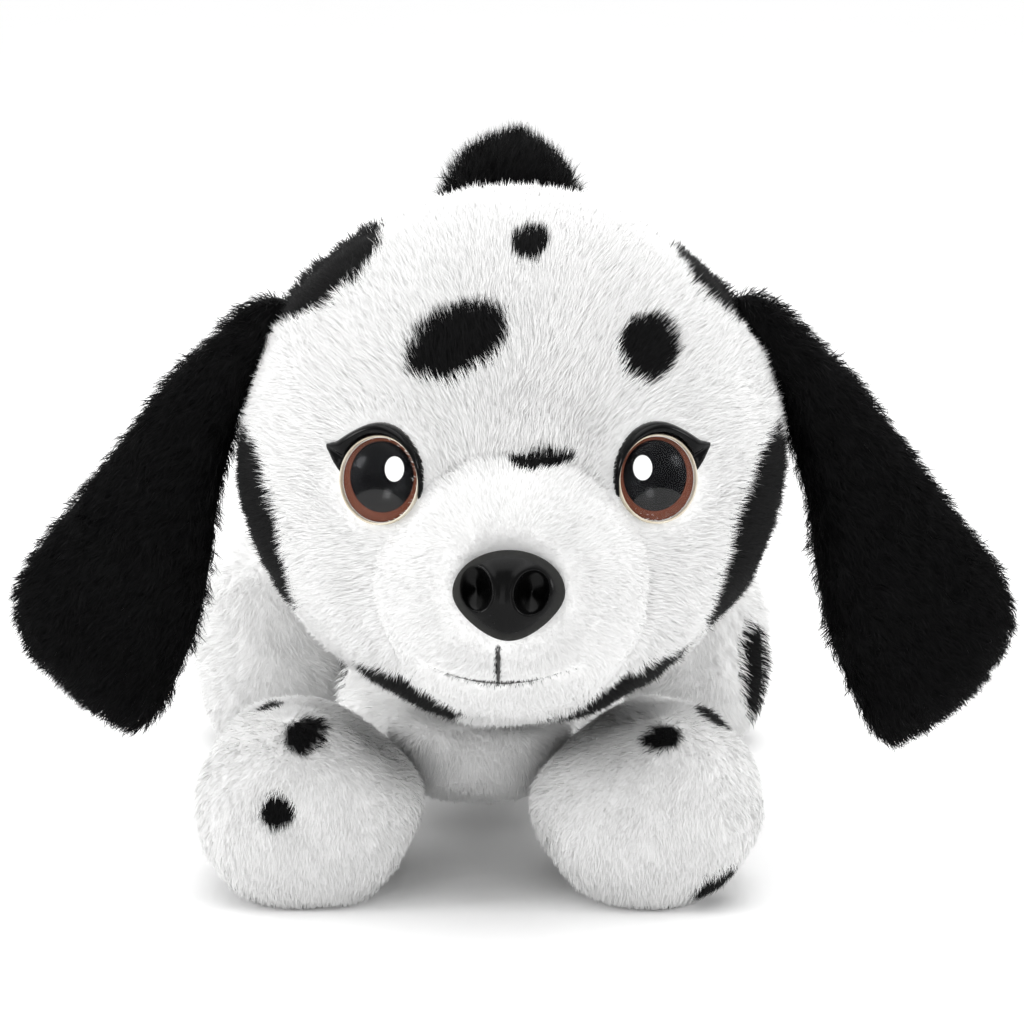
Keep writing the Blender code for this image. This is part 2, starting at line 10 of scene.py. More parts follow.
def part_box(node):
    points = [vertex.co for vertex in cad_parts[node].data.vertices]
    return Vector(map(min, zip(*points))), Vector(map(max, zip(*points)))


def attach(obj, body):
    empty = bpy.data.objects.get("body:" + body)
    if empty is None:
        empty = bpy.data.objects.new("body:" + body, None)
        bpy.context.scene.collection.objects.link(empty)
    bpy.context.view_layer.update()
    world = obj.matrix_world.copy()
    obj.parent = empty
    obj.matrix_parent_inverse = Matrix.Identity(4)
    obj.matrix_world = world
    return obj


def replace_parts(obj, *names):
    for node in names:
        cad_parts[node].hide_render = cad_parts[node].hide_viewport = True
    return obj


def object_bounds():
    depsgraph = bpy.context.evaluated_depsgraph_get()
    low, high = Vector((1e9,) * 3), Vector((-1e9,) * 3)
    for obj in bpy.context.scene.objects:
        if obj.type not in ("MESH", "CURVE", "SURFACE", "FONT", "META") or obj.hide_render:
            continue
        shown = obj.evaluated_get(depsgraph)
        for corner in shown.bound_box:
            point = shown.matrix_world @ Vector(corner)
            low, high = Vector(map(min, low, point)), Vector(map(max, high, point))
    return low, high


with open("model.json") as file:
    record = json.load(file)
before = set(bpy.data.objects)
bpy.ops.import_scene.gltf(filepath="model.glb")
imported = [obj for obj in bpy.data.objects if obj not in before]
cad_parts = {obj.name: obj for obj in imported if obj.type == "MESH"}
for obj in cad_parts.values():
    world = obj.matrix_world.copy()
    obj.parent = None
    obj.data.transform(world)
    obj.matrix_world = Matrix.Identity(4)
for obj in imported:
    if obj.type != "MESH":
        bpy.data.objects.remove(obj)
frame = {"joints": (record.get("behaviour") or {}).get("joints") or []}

# A plush spotted puppy. Every fabric panel is a sewn skin with its pile grown on it as fine tapered
# blades; the fittings, threads and fillings are modelled over the frame's own nodes.

MM = 0.001
SIDES = {"left": -1, "right": 1}
cad_low, cad_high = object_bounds()


# ---------------------------------------------------------------- places taken from the frame
def joined_box(*nodes):
    """The lowest and highest corner of several CAD nodes together."""
    lows, highs = zip(*(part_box(node) for node in nodes))
    return np.array(lows).min(0), np.array(highs).max(0)


def joint(name):
    """A joint of the record, by name."""
    return next(j for j in frame["joints"] if j["name"] == name)


HEAD_BOX = joined_box("muzzle_panel", "face_panel", "head_back")
TORSO_BOX = joined_box("body_skin", "body_stuffing")
FLOOR = float(cad_low.z)
# The face's long pile hides the seam of the muzzle, and starts in front of it.
MUZZLE_SEAM_Y = float(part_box("muzzle_panel")[1].y) - 6.5 * MM
CROWN_SEAM_Y = float(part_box("face_panel")[1].y)

# ---------------------------------------------------------------- fabric, filling and pile
SKIN_THICK = 0.8 * MM
FILL_INSET = 4.0 * MM  # from a skin's outside to its filling, clear of the backing and the pile's roots
END_PLACE = 0.06  # rows from a round end to the first ring of a skin
TAIL_ROOT_PLACE = 0.3  # the same at the tail's root, which is broader
HEAD_COLUMNS = 150
CLOTH_SCALE = 10  # the simulation runs on a larger copy, where cloth is stable
CLOTH_PRESSURE = 4
CLOTH_FRAMES = 20
CLOTH_SMOOTHING = 8  # rounds of smoothing over the movement, which keep the swelling and not the ripples
ROOT_DEPTH = 0.3 * MM  # how far each blade starts inside the fabric
DRIFT = 0.16  # how far whole stretches of pile turn from the way they are brushed
OUTSIDE = -9.0  # a depth far outside every spot
FAR = 9.0  # a distance beyond the reach of every fitting
# Each pile has these values, where its own list doesn't change them. Density is in blades per square
# metre, lift is how steeply the blades rise, wild, clump and tuft are how single blades and whole tufts
# stray and how big the tufts are, and sparkle is how unevenly the blades catch the light.
PILE = {
    "length": 4.6 * MM,
    "width": 0.20 * MM,
    "density": 4.5e6,
    "lift": 0.34,
    "wild": 0.11,
    "clump": 0.10,
    "tuft": 5 * MM,
    "sparkle": 0.08,
    "batches": 1,
}
SLEEK = {"lift": 0.28, "wild": 0.12}
MUZZLE_PILE = {**SLEEK, "length": 2.8 * MM, "width": 0.16 * MM, "density": 9.0e6, "clump": 0.04}
FACE_PILE = {"width": 0.18 * MM, "density": 7.0e6, "batches": 2, "clump": 0.08}
CROWN_PILE = {"length": 5.6 * MM, "density": 2.4e6, "width": 0.28 * MM}
NECK_PILE = {"length": 3.5 * MM, "density": 3.0e6}
TORSO_PILE = {"length": 5.0 * MM, "density": 1.5e6}
FRONT_LEG_PILE = {**SLEEK, "length": 3.3 * MM, "width": 0.17 * MM, "density": 6.5e6, "clump": 0.05}
HIND_LEG_PILE = {"length": 4.8 * MM, "density": 2.6e6}
TAIL_PILE = {"length": 8.0 * MM, "density": 5.0e6, "lift": 0.45, "wild": 0.20, "sparkle": 0.3}
EAR_PILE = {"density": 5.2e6, "lift": 0.30, "wild": 0.2, "clump": 0.22, "sparkle": 0.35}

# ---------------------------------------------------------------- lofted shapes
# Rows: place along the body, half width, half height, height of the middle, in millimetres.
# fitted() scales them to the box of the CAD nodes that they dress.
HEAD_ROWS = (
    (-64.0, 0.0, 0.0, -18.0),
    (-60.5, 16.0, 14.5, -18.5),
    (-54.0, 24.5, 22.5, -19.5),
    (-46.0, 29.5, 28.5, -19.5),
    (-39.0, 34.0, 34.0, -16.0),
    (-31.0, 44.0, 44.0, -9.5),
    (-20.0, 53.0, 53.0, -3.0),
    (-6.0, 60.0, 59.0, 0.5),
    (10.0, 62.0, 60.5, 1.0),
    (26.0, 59.0, 57.5, 1.0),
    (40.0, 50.0, 49.0, 0.0),
    (50.0, 36.0, 36.0, -1.0),
    (56.5, 0.0, 0.0, -1.0),
)
TORSO_ROWS = (
    (-42.0, 0.0, 0.0, 22.0),
    (-39.0, 7.5, 7.0, 22.0),
    (-30.0, 11.5, 10.0, 20.5),
    (-18.0, 12.0, 11.5, 19.0),
    (-8.0, 20.0, 12.5, 18.0),
    (5.0, 32.0, 14.0, 18.0),
    (18.0, 36.0, 18.0, 21.5),
    (29.0, 37.0, 31.0, 34.5),
    (40.0, 37.0, 40.0, 44.0),
    (60.0, 37.0, 42.0, 46.0),
    (80.0, 36.0, 40.0, 44.5),
    (94.0, 29.0, 32.0, 42.0),
    (101.0, 18.0, 20.0, 40.0),
    (104.0, 0.0, 0.0, 40.0),
)
FRONT_LEG_ROWS = (
    (-82.0, 0.0, 0.0, 16.0),
    (-79.5, 13.0, 10.0, 16.0),
    (-73.0, 21.0, 18.5, 16.8),
    (-62.0, 25.8, 21.5, 19.4),
    (-48.0, 26.2, 21.5, 19.3),
    (-34.0, 23.5, 20.3, 18.3),
    (-24.0, 19.0, 16.5, 20.5),
    (-18.0, 11.0, 11.0, 22.0),
    (-16.0, 0.0, 0.0, 22.0),
)
HIND_LEG_ROWS = (
    (48.0, 0.0, 0.0, 14.0),
    (50.0, 9.0, 9.0, 14.0),
    (56.0, 15.5, 17.0, 15.3),
    (66.0, 19.0, 25.0, 22.5),
    (78.0, 19.5, 29.0, 26.1),
    (89.0, 17.0, 26.0, 23.6),
    (96.0, 10.0, 14.0, 24.0),
    (98.5, 0.0, 0.0, 24.0),
)
TAIL_ROWS = (
    (0.0, 0.0, 0.0, 0.0),
    (3.0, 7.0, 7.0, 0.0),
    (16.0, 10.0, 10.0, 0.0),
    (34.0, 13.0, 12.0, 0.0),
    (52.0, 15.5, 14.5, 0.0),
    (65.0, 13.0, 12.0, 0.0),
    (71.5, 6.5, 6.0, 0.0),
    (73.8, 0.0, 0.0, 0.0),
)
# The ears' rows: along the ear, half width, half thickness, how far the middle lies outwards.
EAR_ROWS = (
    (-18.0, 0.0, 0.0, 1.5),
    (-14.0, 6.0, 3.8, 2.5),
    (-3.0, 8.0, 4.8, 6.0),
    (9.0, 9.5, 5.0, 10.0),
    (20.0, 11.5, 5.2, 11.0),
    (34.0, 14.5, 5.4, 12.0),
    (48.0, 18.2, 5.6, 12.0),
    (64.0, 22.0, 5.7, 12.8),
    (76.0, 21.8, 5.5, 12.4),
    (84.5, 18.5, 5.0, 9.5),
    (91.5, 10.5, 3.6, 3.5),
    (95.0, 0.0, 0.0, -2.0),
)


def fitted(rows, box, floor=None):
    """Rows in metres, scaled so that the shape fills a box from its lowest to its highest corner."""
    low, high = (np.array(corner, float) for corner in box)
    rows = np.array(rows, float) * MM
    along, wide, tall, middle = rows.T
    stretch = (high[1] - low[1]) / (along.max() - along.min())
    bottom = (middle - tall).min() if floor is None else max((middle - tall).min(), floor)
    rise = (high[2] - low[2]) / ((middle + tall).max() - bottom)
    made = np.empty_like(rows)
    made[:, 0] = low[1] + (along - along.min()) * stretch
    made[:, 1] = wide * (high[0] - low[0]) / (2 * wide.max())
    made[:, 2] = tall * rise
    made[:, 3] = low[2] + (middle - bottom) * rise
    return made


def flowing(rows, places):
    """The rows at places counted in rows, on a smooth curve that closes round at a row of no size."""
    mirror = np.array([1.0, -1.0, -1.0, 1.0])
    rows = np.array(rows, float)
    padded = np.vstack([rows[1] * mirror, rows, rows[-2] * mirror])
    places = np.clip(np.atleast_1d(places), 0, len(rows) - 1)
    first = np.minimum(places.astype(int), len(rows) - 2)
    part = (places - first)[:, None]
    before, start, end, after = (padded[first + k] for k in range(4))
    bend = 2 * before - 5 * start + 4 * end - after
    twist = 3 * start - before - 3 * end + after
    return 0.5 * (2 * start + (end - before) * part + bend * part**2 + twist * part**3)


def place_of(rows, along):
    """The place, counted in rows, where a shape reaches a distance along its length."""
    places = np.linspace(0, len(rows) - 1, 800)
    return float(np.interp(along, flowing(rows, places)[:, 0], places))


def unit(vectors):
    """Vectors of length one."""
    return vectors / np.maximum(np.linalg.norm(vectors, axis=-1, keepdims=True), 1e-12)


def loft(rows, middle_x, places, angles, floor=None):
    """A grid of points: one ring of angles at each place along a lofted shape."""
    along, wide, tall, middle = flowing(rows, places).T
    x = middle_x + wide[:, None] * np.cos(angles)[None, :]
    y = np.repeat(along[:, None], len(angles), axis=1)
    z = middle[:, None] + tall[:, None] * np.sin(angles)[None, :]
    if floor is not None:
        z = np.maximum(z, floor)
    return np.stack([x, y, z], axis=-1)


def grid_normals(grid):
    """Outward normals of a grid that is closed round, by differences between neighbours."""
    around = np.roll(grid, -1, axis=1) - np.roll(grid, 1, axis=1)
    along = np.gradient(grid, axis=0)
    normals = unit(np.cross(along, around))
    middles = grid.mean(axis=1, keepdims=True)
    if (normals * (grid - middles)).sum() < 0:
        normals = -normals
    return normals


# ---------------------------------------------------------------- noise without textures
def waves(points, size, seed, count=7):
    """Smooth noise between about -1 and 1: a sum of plane waves of roughly one size."""
    rng = np.random.default_rng(seed)
    directions = unit(rng.normal(size=(count, 3)))
    lengths = size * rng.uniform(0.7, 1.5, count)
    phases = rng.uniform(0, 2 * math.pi, count)
    turns = points @ (directions / lengths[:, None]).T * 2 * math.pi + phases
    return np.sin(turns).sum(-1) / math.sqrt(count / 2) / 1.6


def smooth_step(value, low, high):
    """0 below low, 1 above high, and smooth between."""
    share = np.clip((value - low) / (high - low), 0, 1)
    return share * share * (3 - 2 * share)


# ---------------------------------------------------------------- spots
def spot_depth(points, spots):
    """How deep points lie in the nearest spot: 1 at its middle, 0 at its edge, below 0 outside."""
    deepest = np.full(points.shape[:-1], OUTSIDE)
    for centre, radii, tilt in spots:
        shift = points - np.array(centre)
        turn = math.radians(tilt)
        across = shift[..., 0] * math.cos(turn) + shift[..., 2] * math.sin(turn)
        up = shift[..., 2] * math.cos(turn) - shift[..., 0] * math.sin(turn)
        reach = (across / radii[0]) ** 2 + (shift[..., 1] / radii[1]) ** 2 + (up / radii[2]) ** 2
        deepest = np.maximum(deepest, 1 - np.sqrt(reach))
    return deepest


# ---------------------------------------------------------------- skins with their pile
def wall_faces(rows, columns, offset):
    """Quads of a grid that is closed round, as vertex numbers, with each corner's place in it."""
    i, j = np.meshgrid(np.arange(rows - 1), np.arange(columns), indexing="ij")
    i, j = i.ravel(), j.ravel()
    corners = [(i, j), (i, j + 1), (i + 1, j + 1), (i + 1, j)]
    numbers = np.stack([offset + a * columns + b % columns for a, b in corners], axis=1)
    places = np.stack([np.stack([b / columns, a / (rows - 1)], axis=1) for a, b in corners], axis=1)
    return numbers, places


def end_fan(ring_start, columns, height, middle, reverse):
    """Triangles from a ring of a grid to its middle point, with their places."""
    around = np.arange(columns)
    fan = [ring_start + around, np.full(columns, middle), ring_start + (around + 1) % columns]
    fan = np.stack(fan[::-1] if reverse else fan, axis=1)
    spread = np.stack([around / columns, np.full(columns, height)], axis=1)
    return fan, np.repeat(spread[:, None, :], 3, axis=1)


def hem_faces(ring_start, columns, count, height, reverse):
    """Quads between the outer and the inner wall at an open end, with their places."""
    around = np.arange(columns)
    following = (around + 1) % columns
    inner = count + ring_start
    hem = [ring_start + around, inner + around, inner + following, ring_start + following]
    hem = np.stack(hem[::-1] if reverse else hem, axis=1)
    spread = np.stack([around / columns, np.full(columns, height)], axis=1)
    return hem, np.repeat(spread[:, None, :], 4, axis=1)


def shell_arrays(grid, normals, thickness, caps):
    """Points and faces of a fabric with two walls, closed at the ends in caps and hemmed at the others."""
    rows, columns = grid.shape[:2]
    count = rows * columns
    walls = [grid.reshape(-1, 3), (grid - normals * thickness).reshape(-1, 3)]
    outer, outer_places = wall_faces(rows, columns, 0)
    inner, inner_places = wall_faces(rows, columns, count)
    quads, quad_places = [outer, inner[:, ::-1]], [outer_places, inner_places[:, ::-1]]
    triangles, triangle_places = [], []
    points = list(walls)
    total = 2 * count
    for end, row in (("start", 0), ("end", rows - 1)):
        first, height = row * columns, row / (rows - 1)
        if caps not in (end, "both"):
            hem, places = hem_faces(first, columns, count, height, end == "end")
            quads.append(hem)
            quad_places.append(places)
            continue
        for wall, cloth in enumerate(walls):
            points.append(cloth[first : first + columns].mean(0, keepdims=True))
            reverse = (end == "end") != (wall == 1)
            fan, places = end_fan(first + wall * count, columns, height, total, reverse)
            triangles.append(fan)
            triangle_places.append(places)
            total += 1
    none, no_places = np.zeros((0, 3), int), np.zeros((0, 3, 2))
    return (
        np.vstack(points),
        np.vstack(quads),
        np.vstack([none, *triangles]),
        np.vstack(quad_places),
        np.vstack([no_places, *triangle_places]),
    )


def capped(grid):
    """A grid's points with a middle point for each end, its quads and its end fans, with their places."""
    rows, columns = grid.shape[:2]
    count = rows * columns
    middles = [grid[0].mean(0, keepdims=True), grid[-1].mean(0, keepdims=True)]
    points = np.vstack([grid.reshape(-1, 3), *middles])
    quads, quad_places = wall_faces(rows, columns, 0)
    start, start_places = end_fan(0, columns, 0.0, count, False)
    end, end_places = end_fan(count - columns, columns, 1.0, count + 1, True)
    return points, quads, np.vstack([start, end]), quad_places, np.vstack([start_places, end_places])


def build_mesh(name, points, quads, triangles, quad_uv, triangle_uv, values, normals=None):
    """A smooth mesh from arrays, with a UV layer and one number per point for each name in values."""
    mesh = bpy.data.meshes.new(name)
    mesh.vertices.add(len(points))
    mesh.vertices.foreach_set("co", points.astype(np.float32).ravel())
    corners = np.concatenate([quads.ravel(), triangles.ravel()]).astype(np.int32)
    mesh.loops.add(len(corners))
    mesh.loops.foreach_set("vertex_index", corners)
    starts = [np.arange(len(quads)) * 4, len(quads) * 4 + np.arange(len(triangles)) * 3]
    starts = np.concatenate(starts).astype(np.int32)
    mesh.polygons.add(len(starts))
    mesh.polygons.foreach_set("loop_start", starts)
    mesh.polygons.foreach_set("use_smooth", np.ones(len(starts), bool))
    layer = mesh.uv_layers.new(name="OFBake")
    spread = np.concatenate([quad_uv.reshape(-1, 2), triangle_uv.reshape(-1, 2)])
    layer.data.foreach_set("uv", spread.astype(np.float32).ravel())
    for label, value in values.items():
        stored = mesh.attributes.new(label, "FLOAT", "POINT")
        stored.data.foreach_set("value", value.astype(np.float32))
    mesh.update(calc_edges=True)
    if normals is not None:
        mesh.normals_split_custom_set_from_vertices(normals.astype(np.float32))
    return mesh


def add_object(name, data, finish=None):
    """Links data to the scene as one piece, with its material."""
    made = bpy.data.objects.new(name, data)
    bpy.context.scene.collection.objects.link(made)
    if finish is not None:
        data.materials.append(finish)
    return made


def scatter(grid, fields, density, rng):
    """Random places over a closed-round grid, density of them per square metre, and each field there."""
    rows, columns = grid.shape[:2]
    wrapped = np.concatenate([grid, grid[:, :1]], axis=1)
    side = wrapped[1:, :-1] - wrapped[:-1, :-1]
    across = wrapped[:-1, 1:] - wrapped[:-1, :-1]
    expected = np.linalg.norm(np.cross(side, across), axis=-1) * density[:-1]
    total = int(expected.sum())
    chosen = rng.choice(expected.size, size=total, p=(expected / expected.sum()).ravel())
    i, j = np.unravel_index(chosen, expected.shape)
    following = (j + 1) % columns
    u, v = rng.random((total, 1)), rng.random((total, 1))
    found = []
    for field in fields:
        low = field[i, j] * (1 - u) + field[i, following] * u
        high = field[i + 1, j] * (1 - u) + field[i + 1, following] * u
        found.append(low * (1 - v) + high * v)
    places = np.stack([(j + u[:, 0]) / columns, (i + v[:, 0]) / (rows - 1)], axis=1)
    return places, found


def blade_points(roots, ups, first_way, second_way, lengths, width, rng):
    """Tapered blades that bend once, five points to a blade."""
    half = (lengths * 0.5)[:, None]
    start = roots - ups * ROOT_DEPTH
    middle = start + first_way * half
    tip = middle + second_way * half
    flat = unit(np.cross(second_way, ups))
    turn = rng.uniform(-0.9, 0.9, (len(roots), 1))
    side = unit(flat * np.cos(turn) + np.cross(second_way, flat) * np.sin(turn))
    half_root = side * (width * rng.uniform(0.35, 0.65, len(roots)))[:, None]
    half_middle = half_root * 0.85
    corners = [start - half_root, start + half_root, middle + half_middle, middle - half_middle, tip]
    return np.stack(corners, axis=1)


def pile_mesh(name, skin, normals, lie, depth, pile, rng, seed, floor):
    """One batch of pile over a skin: blades lifted off it and brushed along lie."""
    fields = [skin, normals, lie, pile["shape"][..., None], depth[..., None]]
    places, found = scatter(skin, fields, pile["density"] * pile["thin"], rng)
    roots, ups, brushed, shares, depths = found
    ups, brushed = unit(ups), unit(brushed)
    count = len(roots)
    tufts = np.stack([waves(roots, pile["tuft"], seed + k) for k in (1, 2, 3)], axis=1)
    drift = np.stack([waves(roots, 16 * MM, seed + k) for k in (4, 5, 6)], axis=1)
    stray = rng.normal(size=(count, 3)) * pile["wild"] + tufts * pile["clump"] + drift * DRIFT
    lift = pile["lift"]
    first_way = unit(ups * (lift + 0.35) + brushed * (1 - lift) + stray * 0.8)
    second_way = unit(ups * (lift - 0.10) + brushed * (1.15 - lift) + stray * 1.2)
    lengths = pile["length"] * shares[:, 0] * rng.uniform(0.75, 1.12, count)
    points = blade_points(roots, ups, first_way, second_way, lengths, pile["width"], rng)
    if floor is not None:
        points[..., 2] = np.maximum(points[..., 2], floor + 0.1 * MM)
    spotted = smooth_step(depths[:, 0] + rng.normal(size=count) * 0.05, -0.03, 0.03)
    first = 5 * np.arange(count)[:, None]
    values = {
        "spot": np.repeat(spotted, 5),
        "tone": np.repeat(rng.uniform(0, 1, count), 5),
    }
    shading = unit(ups + pile["sparkle"] * rng.normal(size=(count, 3)))
    return build_mesh(
        name,
        points.reshape(-1, 3),
        first + np.array([[0, 1, 2, 3]]),
        first + np.array([[3, 2, 4]]),
        np.repeat(places[:, None, :], 4, axis=1),
        np.repeat(places[:, None, :], 3, axis=1),
        values,
        np.repeat(shading, 5, axis=0),
    )


def places_between(start, end, rows, closed):
    """Places along a shape, closer together towards its closed ends."""
    share = np.linspace(0, 1, rows)
    if closed == "both":
        share = (1 - np.cos(math.pi * share)) / 2
    elif closed == "start":
        share = 1 - np.cos(math.pi / 2 * share)
    elif closed == "end":
        share = np.sin(math.pi / 2 * share)
    return start + (end - start) * share


def swollen(grid, cap):
    """A sewn surface pushed out by its filling: a short cloth simulation under pressure, in which no
    point moves further than cap."""
    rows, columns = grid.shape[:2]
    count = rows * columns
    points, *faces = capped(grid)
    mesh = build_mesh("sewn", points * CLOTH_SCALE, *faces, {})
    piece = add_object("sewn", mesh)
    ends = [*range(2 * columns), *range(count - 2 * columns, count + 2)]
    piece.vertex_groups.new(name="sewn_ends").add(ends, 1.0, "REPLACE")
    cloth = piece.modifiers.new("cloth", "CLOTH")
    cloth.settings.vertex_group_mass = "sewn_ends"
    cloth.settings.use_pressure = True
    cloth.settings.uniform_pressure_force = CLOTH_PRESSURE
    cloth.settings.effector_weights.gravity = 0
    cloth.settings.tension_stiffness = 8
    cloth.settings.compression_stiffness = 8
    cloth.settings.quality = 4
    cloth.point_cache.frame_end = CLOTH_FRAMES
    for step in range(1, CLOTH_FRAMES + 1):
        bpy.context.scene.frame_set(step)
    shaped = piece.evaluated_get(bpy.context.evaluated_depsgraph_get()).to_mesh()
    moved = np.zeros(3 * len(points), np.float32)
    shaped.vertices.foreach_get("co", moved)
    move = moved.reshape(-1, 3)[:count].reshape(grid.shape) / CLOTH_SCALE - grid
    for _ in range(CLOTH_SMOOTHING):
        move = (2 * move + np.roll(move, 1, axis=1) + np.roll(move, -1, axis=1)) / 4
        move[1:-1] = (2 * move[1:-1] + move[:-2] + move[2:]) / 4
    from_end = np.minimum(np.arange(rows), np.arange(rows)[::-1])
    inner = round(0.2 * rows)
    carried = np.where(np.arange(rows)[:, None] < rows / 2, move[inner].mean(0), move[-inner].mean(0))
    eased = smooth_step(from_end, 0.05 * rows, 0.25 * rows)[:, None, None]
    move = move * eased + carried[:, None, :] * (1 - eased)
    bpy.data.objects.remove(piece)
    bpy.data.meshes.remove(mesh)
    bpy.context.scene.frame_set(1)
    far = np.linalg.norm(move, axis=-1, keepdims=True)
    return grid + move * np.minimum(1, cap / np.maximum(far, 1e-9))


def plush(name, body, nodes, skin, lie, pile, spots, finish, caps, seed, floor=None):
    """A sewn fabric skin that replaces its CAD nodes, and the pile that grows on it."""
    rows_columns = skin.shape[:2]
    pile = {**PILE, "shape": np.ones(rows_columns), "thin": np.ones(rows_columns), **pile}
    if floor is not None:
        skin = skin.copy()
        skin[..., 2] = np.maximum(skin[..., 2], floor + 0.5 * MM)
    normals = grid_normals(skin)
    ragged = waves(skin, 5 * MM, seed + 50) * 0.07
    depth = spot_depth(skin, spots) + ragged if spots else np.full(rows_columns, OUTSIDE)
    # A pile's dark map turns blades and fabric black as in a spot; on the head it carries painted shade
    # along the mouth's stitches.
    depth = np.maximum(depth, pile.get("dark", OUTSIDE))
    points, quads, triangles, quad_uv, triangle_uv = shell_arrays(skin, normals, SKIN_THICK, caps)
    masks = np.zeros(len(points))
    cells = rows_columns[0] * rows_columns[1]
    masks[: 2 * cells] = np.tile(smooth_step(depth.ravel(), -0.03, 0.03), 2)
    values = {"spot": masks, "tone": np.full(len(points), 0.5)}
    mesh = build_mesh(f"{name}_fabric", points, quads, triangles, quad_uv, triangle_uv, values)
    fabric = add_object(f"{name}_fabric", mesh, finish)
    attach(fabric, body)
    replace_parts(fabric, *nodes)
    rng = np.random.default_rng(seed)
    for batch in range(pile["batches"]):
        label = f"{name}_pile_{batch + 1}"
        grown = pile_mesh(label, skin, normals, lie, depth, pile, rng, seed, floor)
        piece = add_object(label, grown, finish)
        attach(piece, body)
    return fabric


def stuffing(name, body, skin, seed, inset=FILL_INSET):
    """The filling inside a skin: a lumpy body of fibre, a little smaller than the skin's inside."""
    normals = grid_normals(skin)
    lumps = waves(skin, 11 * MM, seed) * 0.5 * MM + waves(skin, 4 * MM, seed + 9) * 0.15 * MM
    inside = skin - normals * (inset + lumps)[..., None]
    piece = add_object(f"{name}_fill", build_mesh(f"{name}_fill", *capped(inside), {}), FIBRE)
    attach(piece, body)
    return piece


# ---------------------------------------------------------------- materials
def new_material(name):
    """A material with its node tree and Principled shader."""
    made = bpy.data.materials.new(name)
    made.use_nodes = True
    return made, made.node_tree, made.node_tree.nodes["Principled BSDF"]


def colour_socket(sockets, name):
    """A Mix node's colour socket of that name."""
    return next(s for s in sockets if s.name == name and s.type == "RGBA")


def mixed_colour(tree, factor, low, high):
    """A colour between low and high, which are colours or sockets, by a factor socket."""
    mix = tree.nodes.new("ShaderNodeMix")
    mix.data_type = "RGBA"
    tree.links.new(factor, mix.inputs["Factor"])
    for label, value in (("A", low), ("B", high)):
        target = colour_socket(mix.inputs, label)
        if isinstance(value, tuple):
            target.default_value = (*value, 1.0)
        else:
            tree.links.new(value, target)
    return colour_socket(mix.outputs, "Result")


def attribute(tree, name):
    """The number that a mesh holds at each point under a name."""
    node = tree.nodes.new("ShaderNodeAttribute")
    node.attribute_name = name
    return node.outputs["Fac"]


def noise(tree, scale, detail=2.0):
    """Noise in the object's own coordinates, at a scale per metre."""
    place = tree.nodes.new("ShaderNodeTexCoord")
    node = tree.nodes.new("ShaderNodeTexNoise")
    node.inputs["Scale"].default_value = scale
    node.inputs["Detail"].default_value = detail
    tree.links.new(place.outputs["Object"], node.inputs["Vector"])
    return node.outputs["Fac"]


def ranged(tree, value, from_low, from_high, to_low, to_high):
    """A number moved from one range to another, and kept inside it."""
    node = tree.nodes.new("ShaderNodeMapRange")
    labels = ("From Min", "From Max", "To Min", "To Max")
    for label, number in zip(labels, (from_low, from_high, to_low, to_high)):
        node.inputs[label].default_value = number
    tree.links.new(value, node.inputs["Value"])
    return node.outputs["Result"]


def arithmetic(tree, operation, first, second):
    """Two numbers added or multiplied."""
    node = tree.nodes.new("ShaderNodeMath")
    node.operation = operation
    tree.links.new(first, node.inputs[0])
    tree.links.new(second, node.inputs[1])
    return node.outputs["Value"]


def uneven_polish(tree, shader, low, high, scale, detail=2.0):
    """A roughness that wanders between low and high, in patches of a scale per metre."""
    polish = ranged(tree, noise(tree, scale, detail), 0.3, 0.7, low, high)
    tree.links.new(polish, shader.inputs["Roughness"])


def bumped(tree, shader, height, strength, distance):
    """Raises the shader's surface by a height."""
    bump = tree.nodes.new("ShaderNodeBump")
    bump.inputs["Strength"].default_value = strength
    bump.inputs["Distance"].default_value = distance
    tree.links.new(height, bump.inputs["Height"])
    tree.links.new(bump.outputs["Normal"], shader.inputs["Normal"])


WHITE_TIP, WHITE_DEEP = (0.97, 0.97, 0.965), (0.91, 0.91, 0.905)
BLACK_TIP, BLACK_DEEP = (0.0050, 0.0050, 0.0054), (0.0006, 0.0006, 0.0008)


def pile_material(name, tip, deep, roughness, specular, sheen):
    """Pile fabric: each blade a little lighter or darker than the next, and black inside the spots."""
    made, tree, shader = new_material(name)
    coat = mixed_colour(tree, attribute(tree, "tone"), deep, tip)
    cloud = ranged(tree, noise(tree, 55.0), 0.45, 0.75, 0.0, 0.35)
    coat = mixed_colour(tree, cloud, coat, deep)
    black = mixed_colour(tree, attribute(tree, "tone"), BLACK_DEEP, BLACK_TIP)
    coat = mixed_colour(tree, attribute(tree, "spot"), coat, black)
    tree.links.new(coat, shader.inputs["Base Color"])
    uneven_polish(tree, shader, roughness - 0.08, roughness + 0.08, 900.0)
    shader.inputs["Specular IOR Level"].default_value = specular
    shader.inputs["Sheen Weight"].default_value = sheen
    shader.inputs["Sheen Roughness"].default_value = 0.5
    bumped(tree, shader, noise(tree, 2500.0), 0.15, 0.2 * MM)
    return made


def plastic_material(name, dark, light, roughness, specular, grain):
    """Moulded plastic: cloudy colour, uneven polish and a faint grain."""
    made, tree, shader = new_material(name)
    cloud = ranged(tree, noise(tree, 180.0, 4.0), 0.35, 0.65, 0.0, 1.0)
    tree.links.new(mixed_colour(tree, cloud, dark, light), shader.inputs["Base Color"])
    uneven_polish(tree, shader, roughness * 0.8, roughness * 1.25, 500.0, 3.0)
    shader.inputs["Specular IOR Level"].default_value = specular
    bumped(tree, shader, noise(tree, 1500.0, 3.0), grain, 0.1 * MM)
    return made


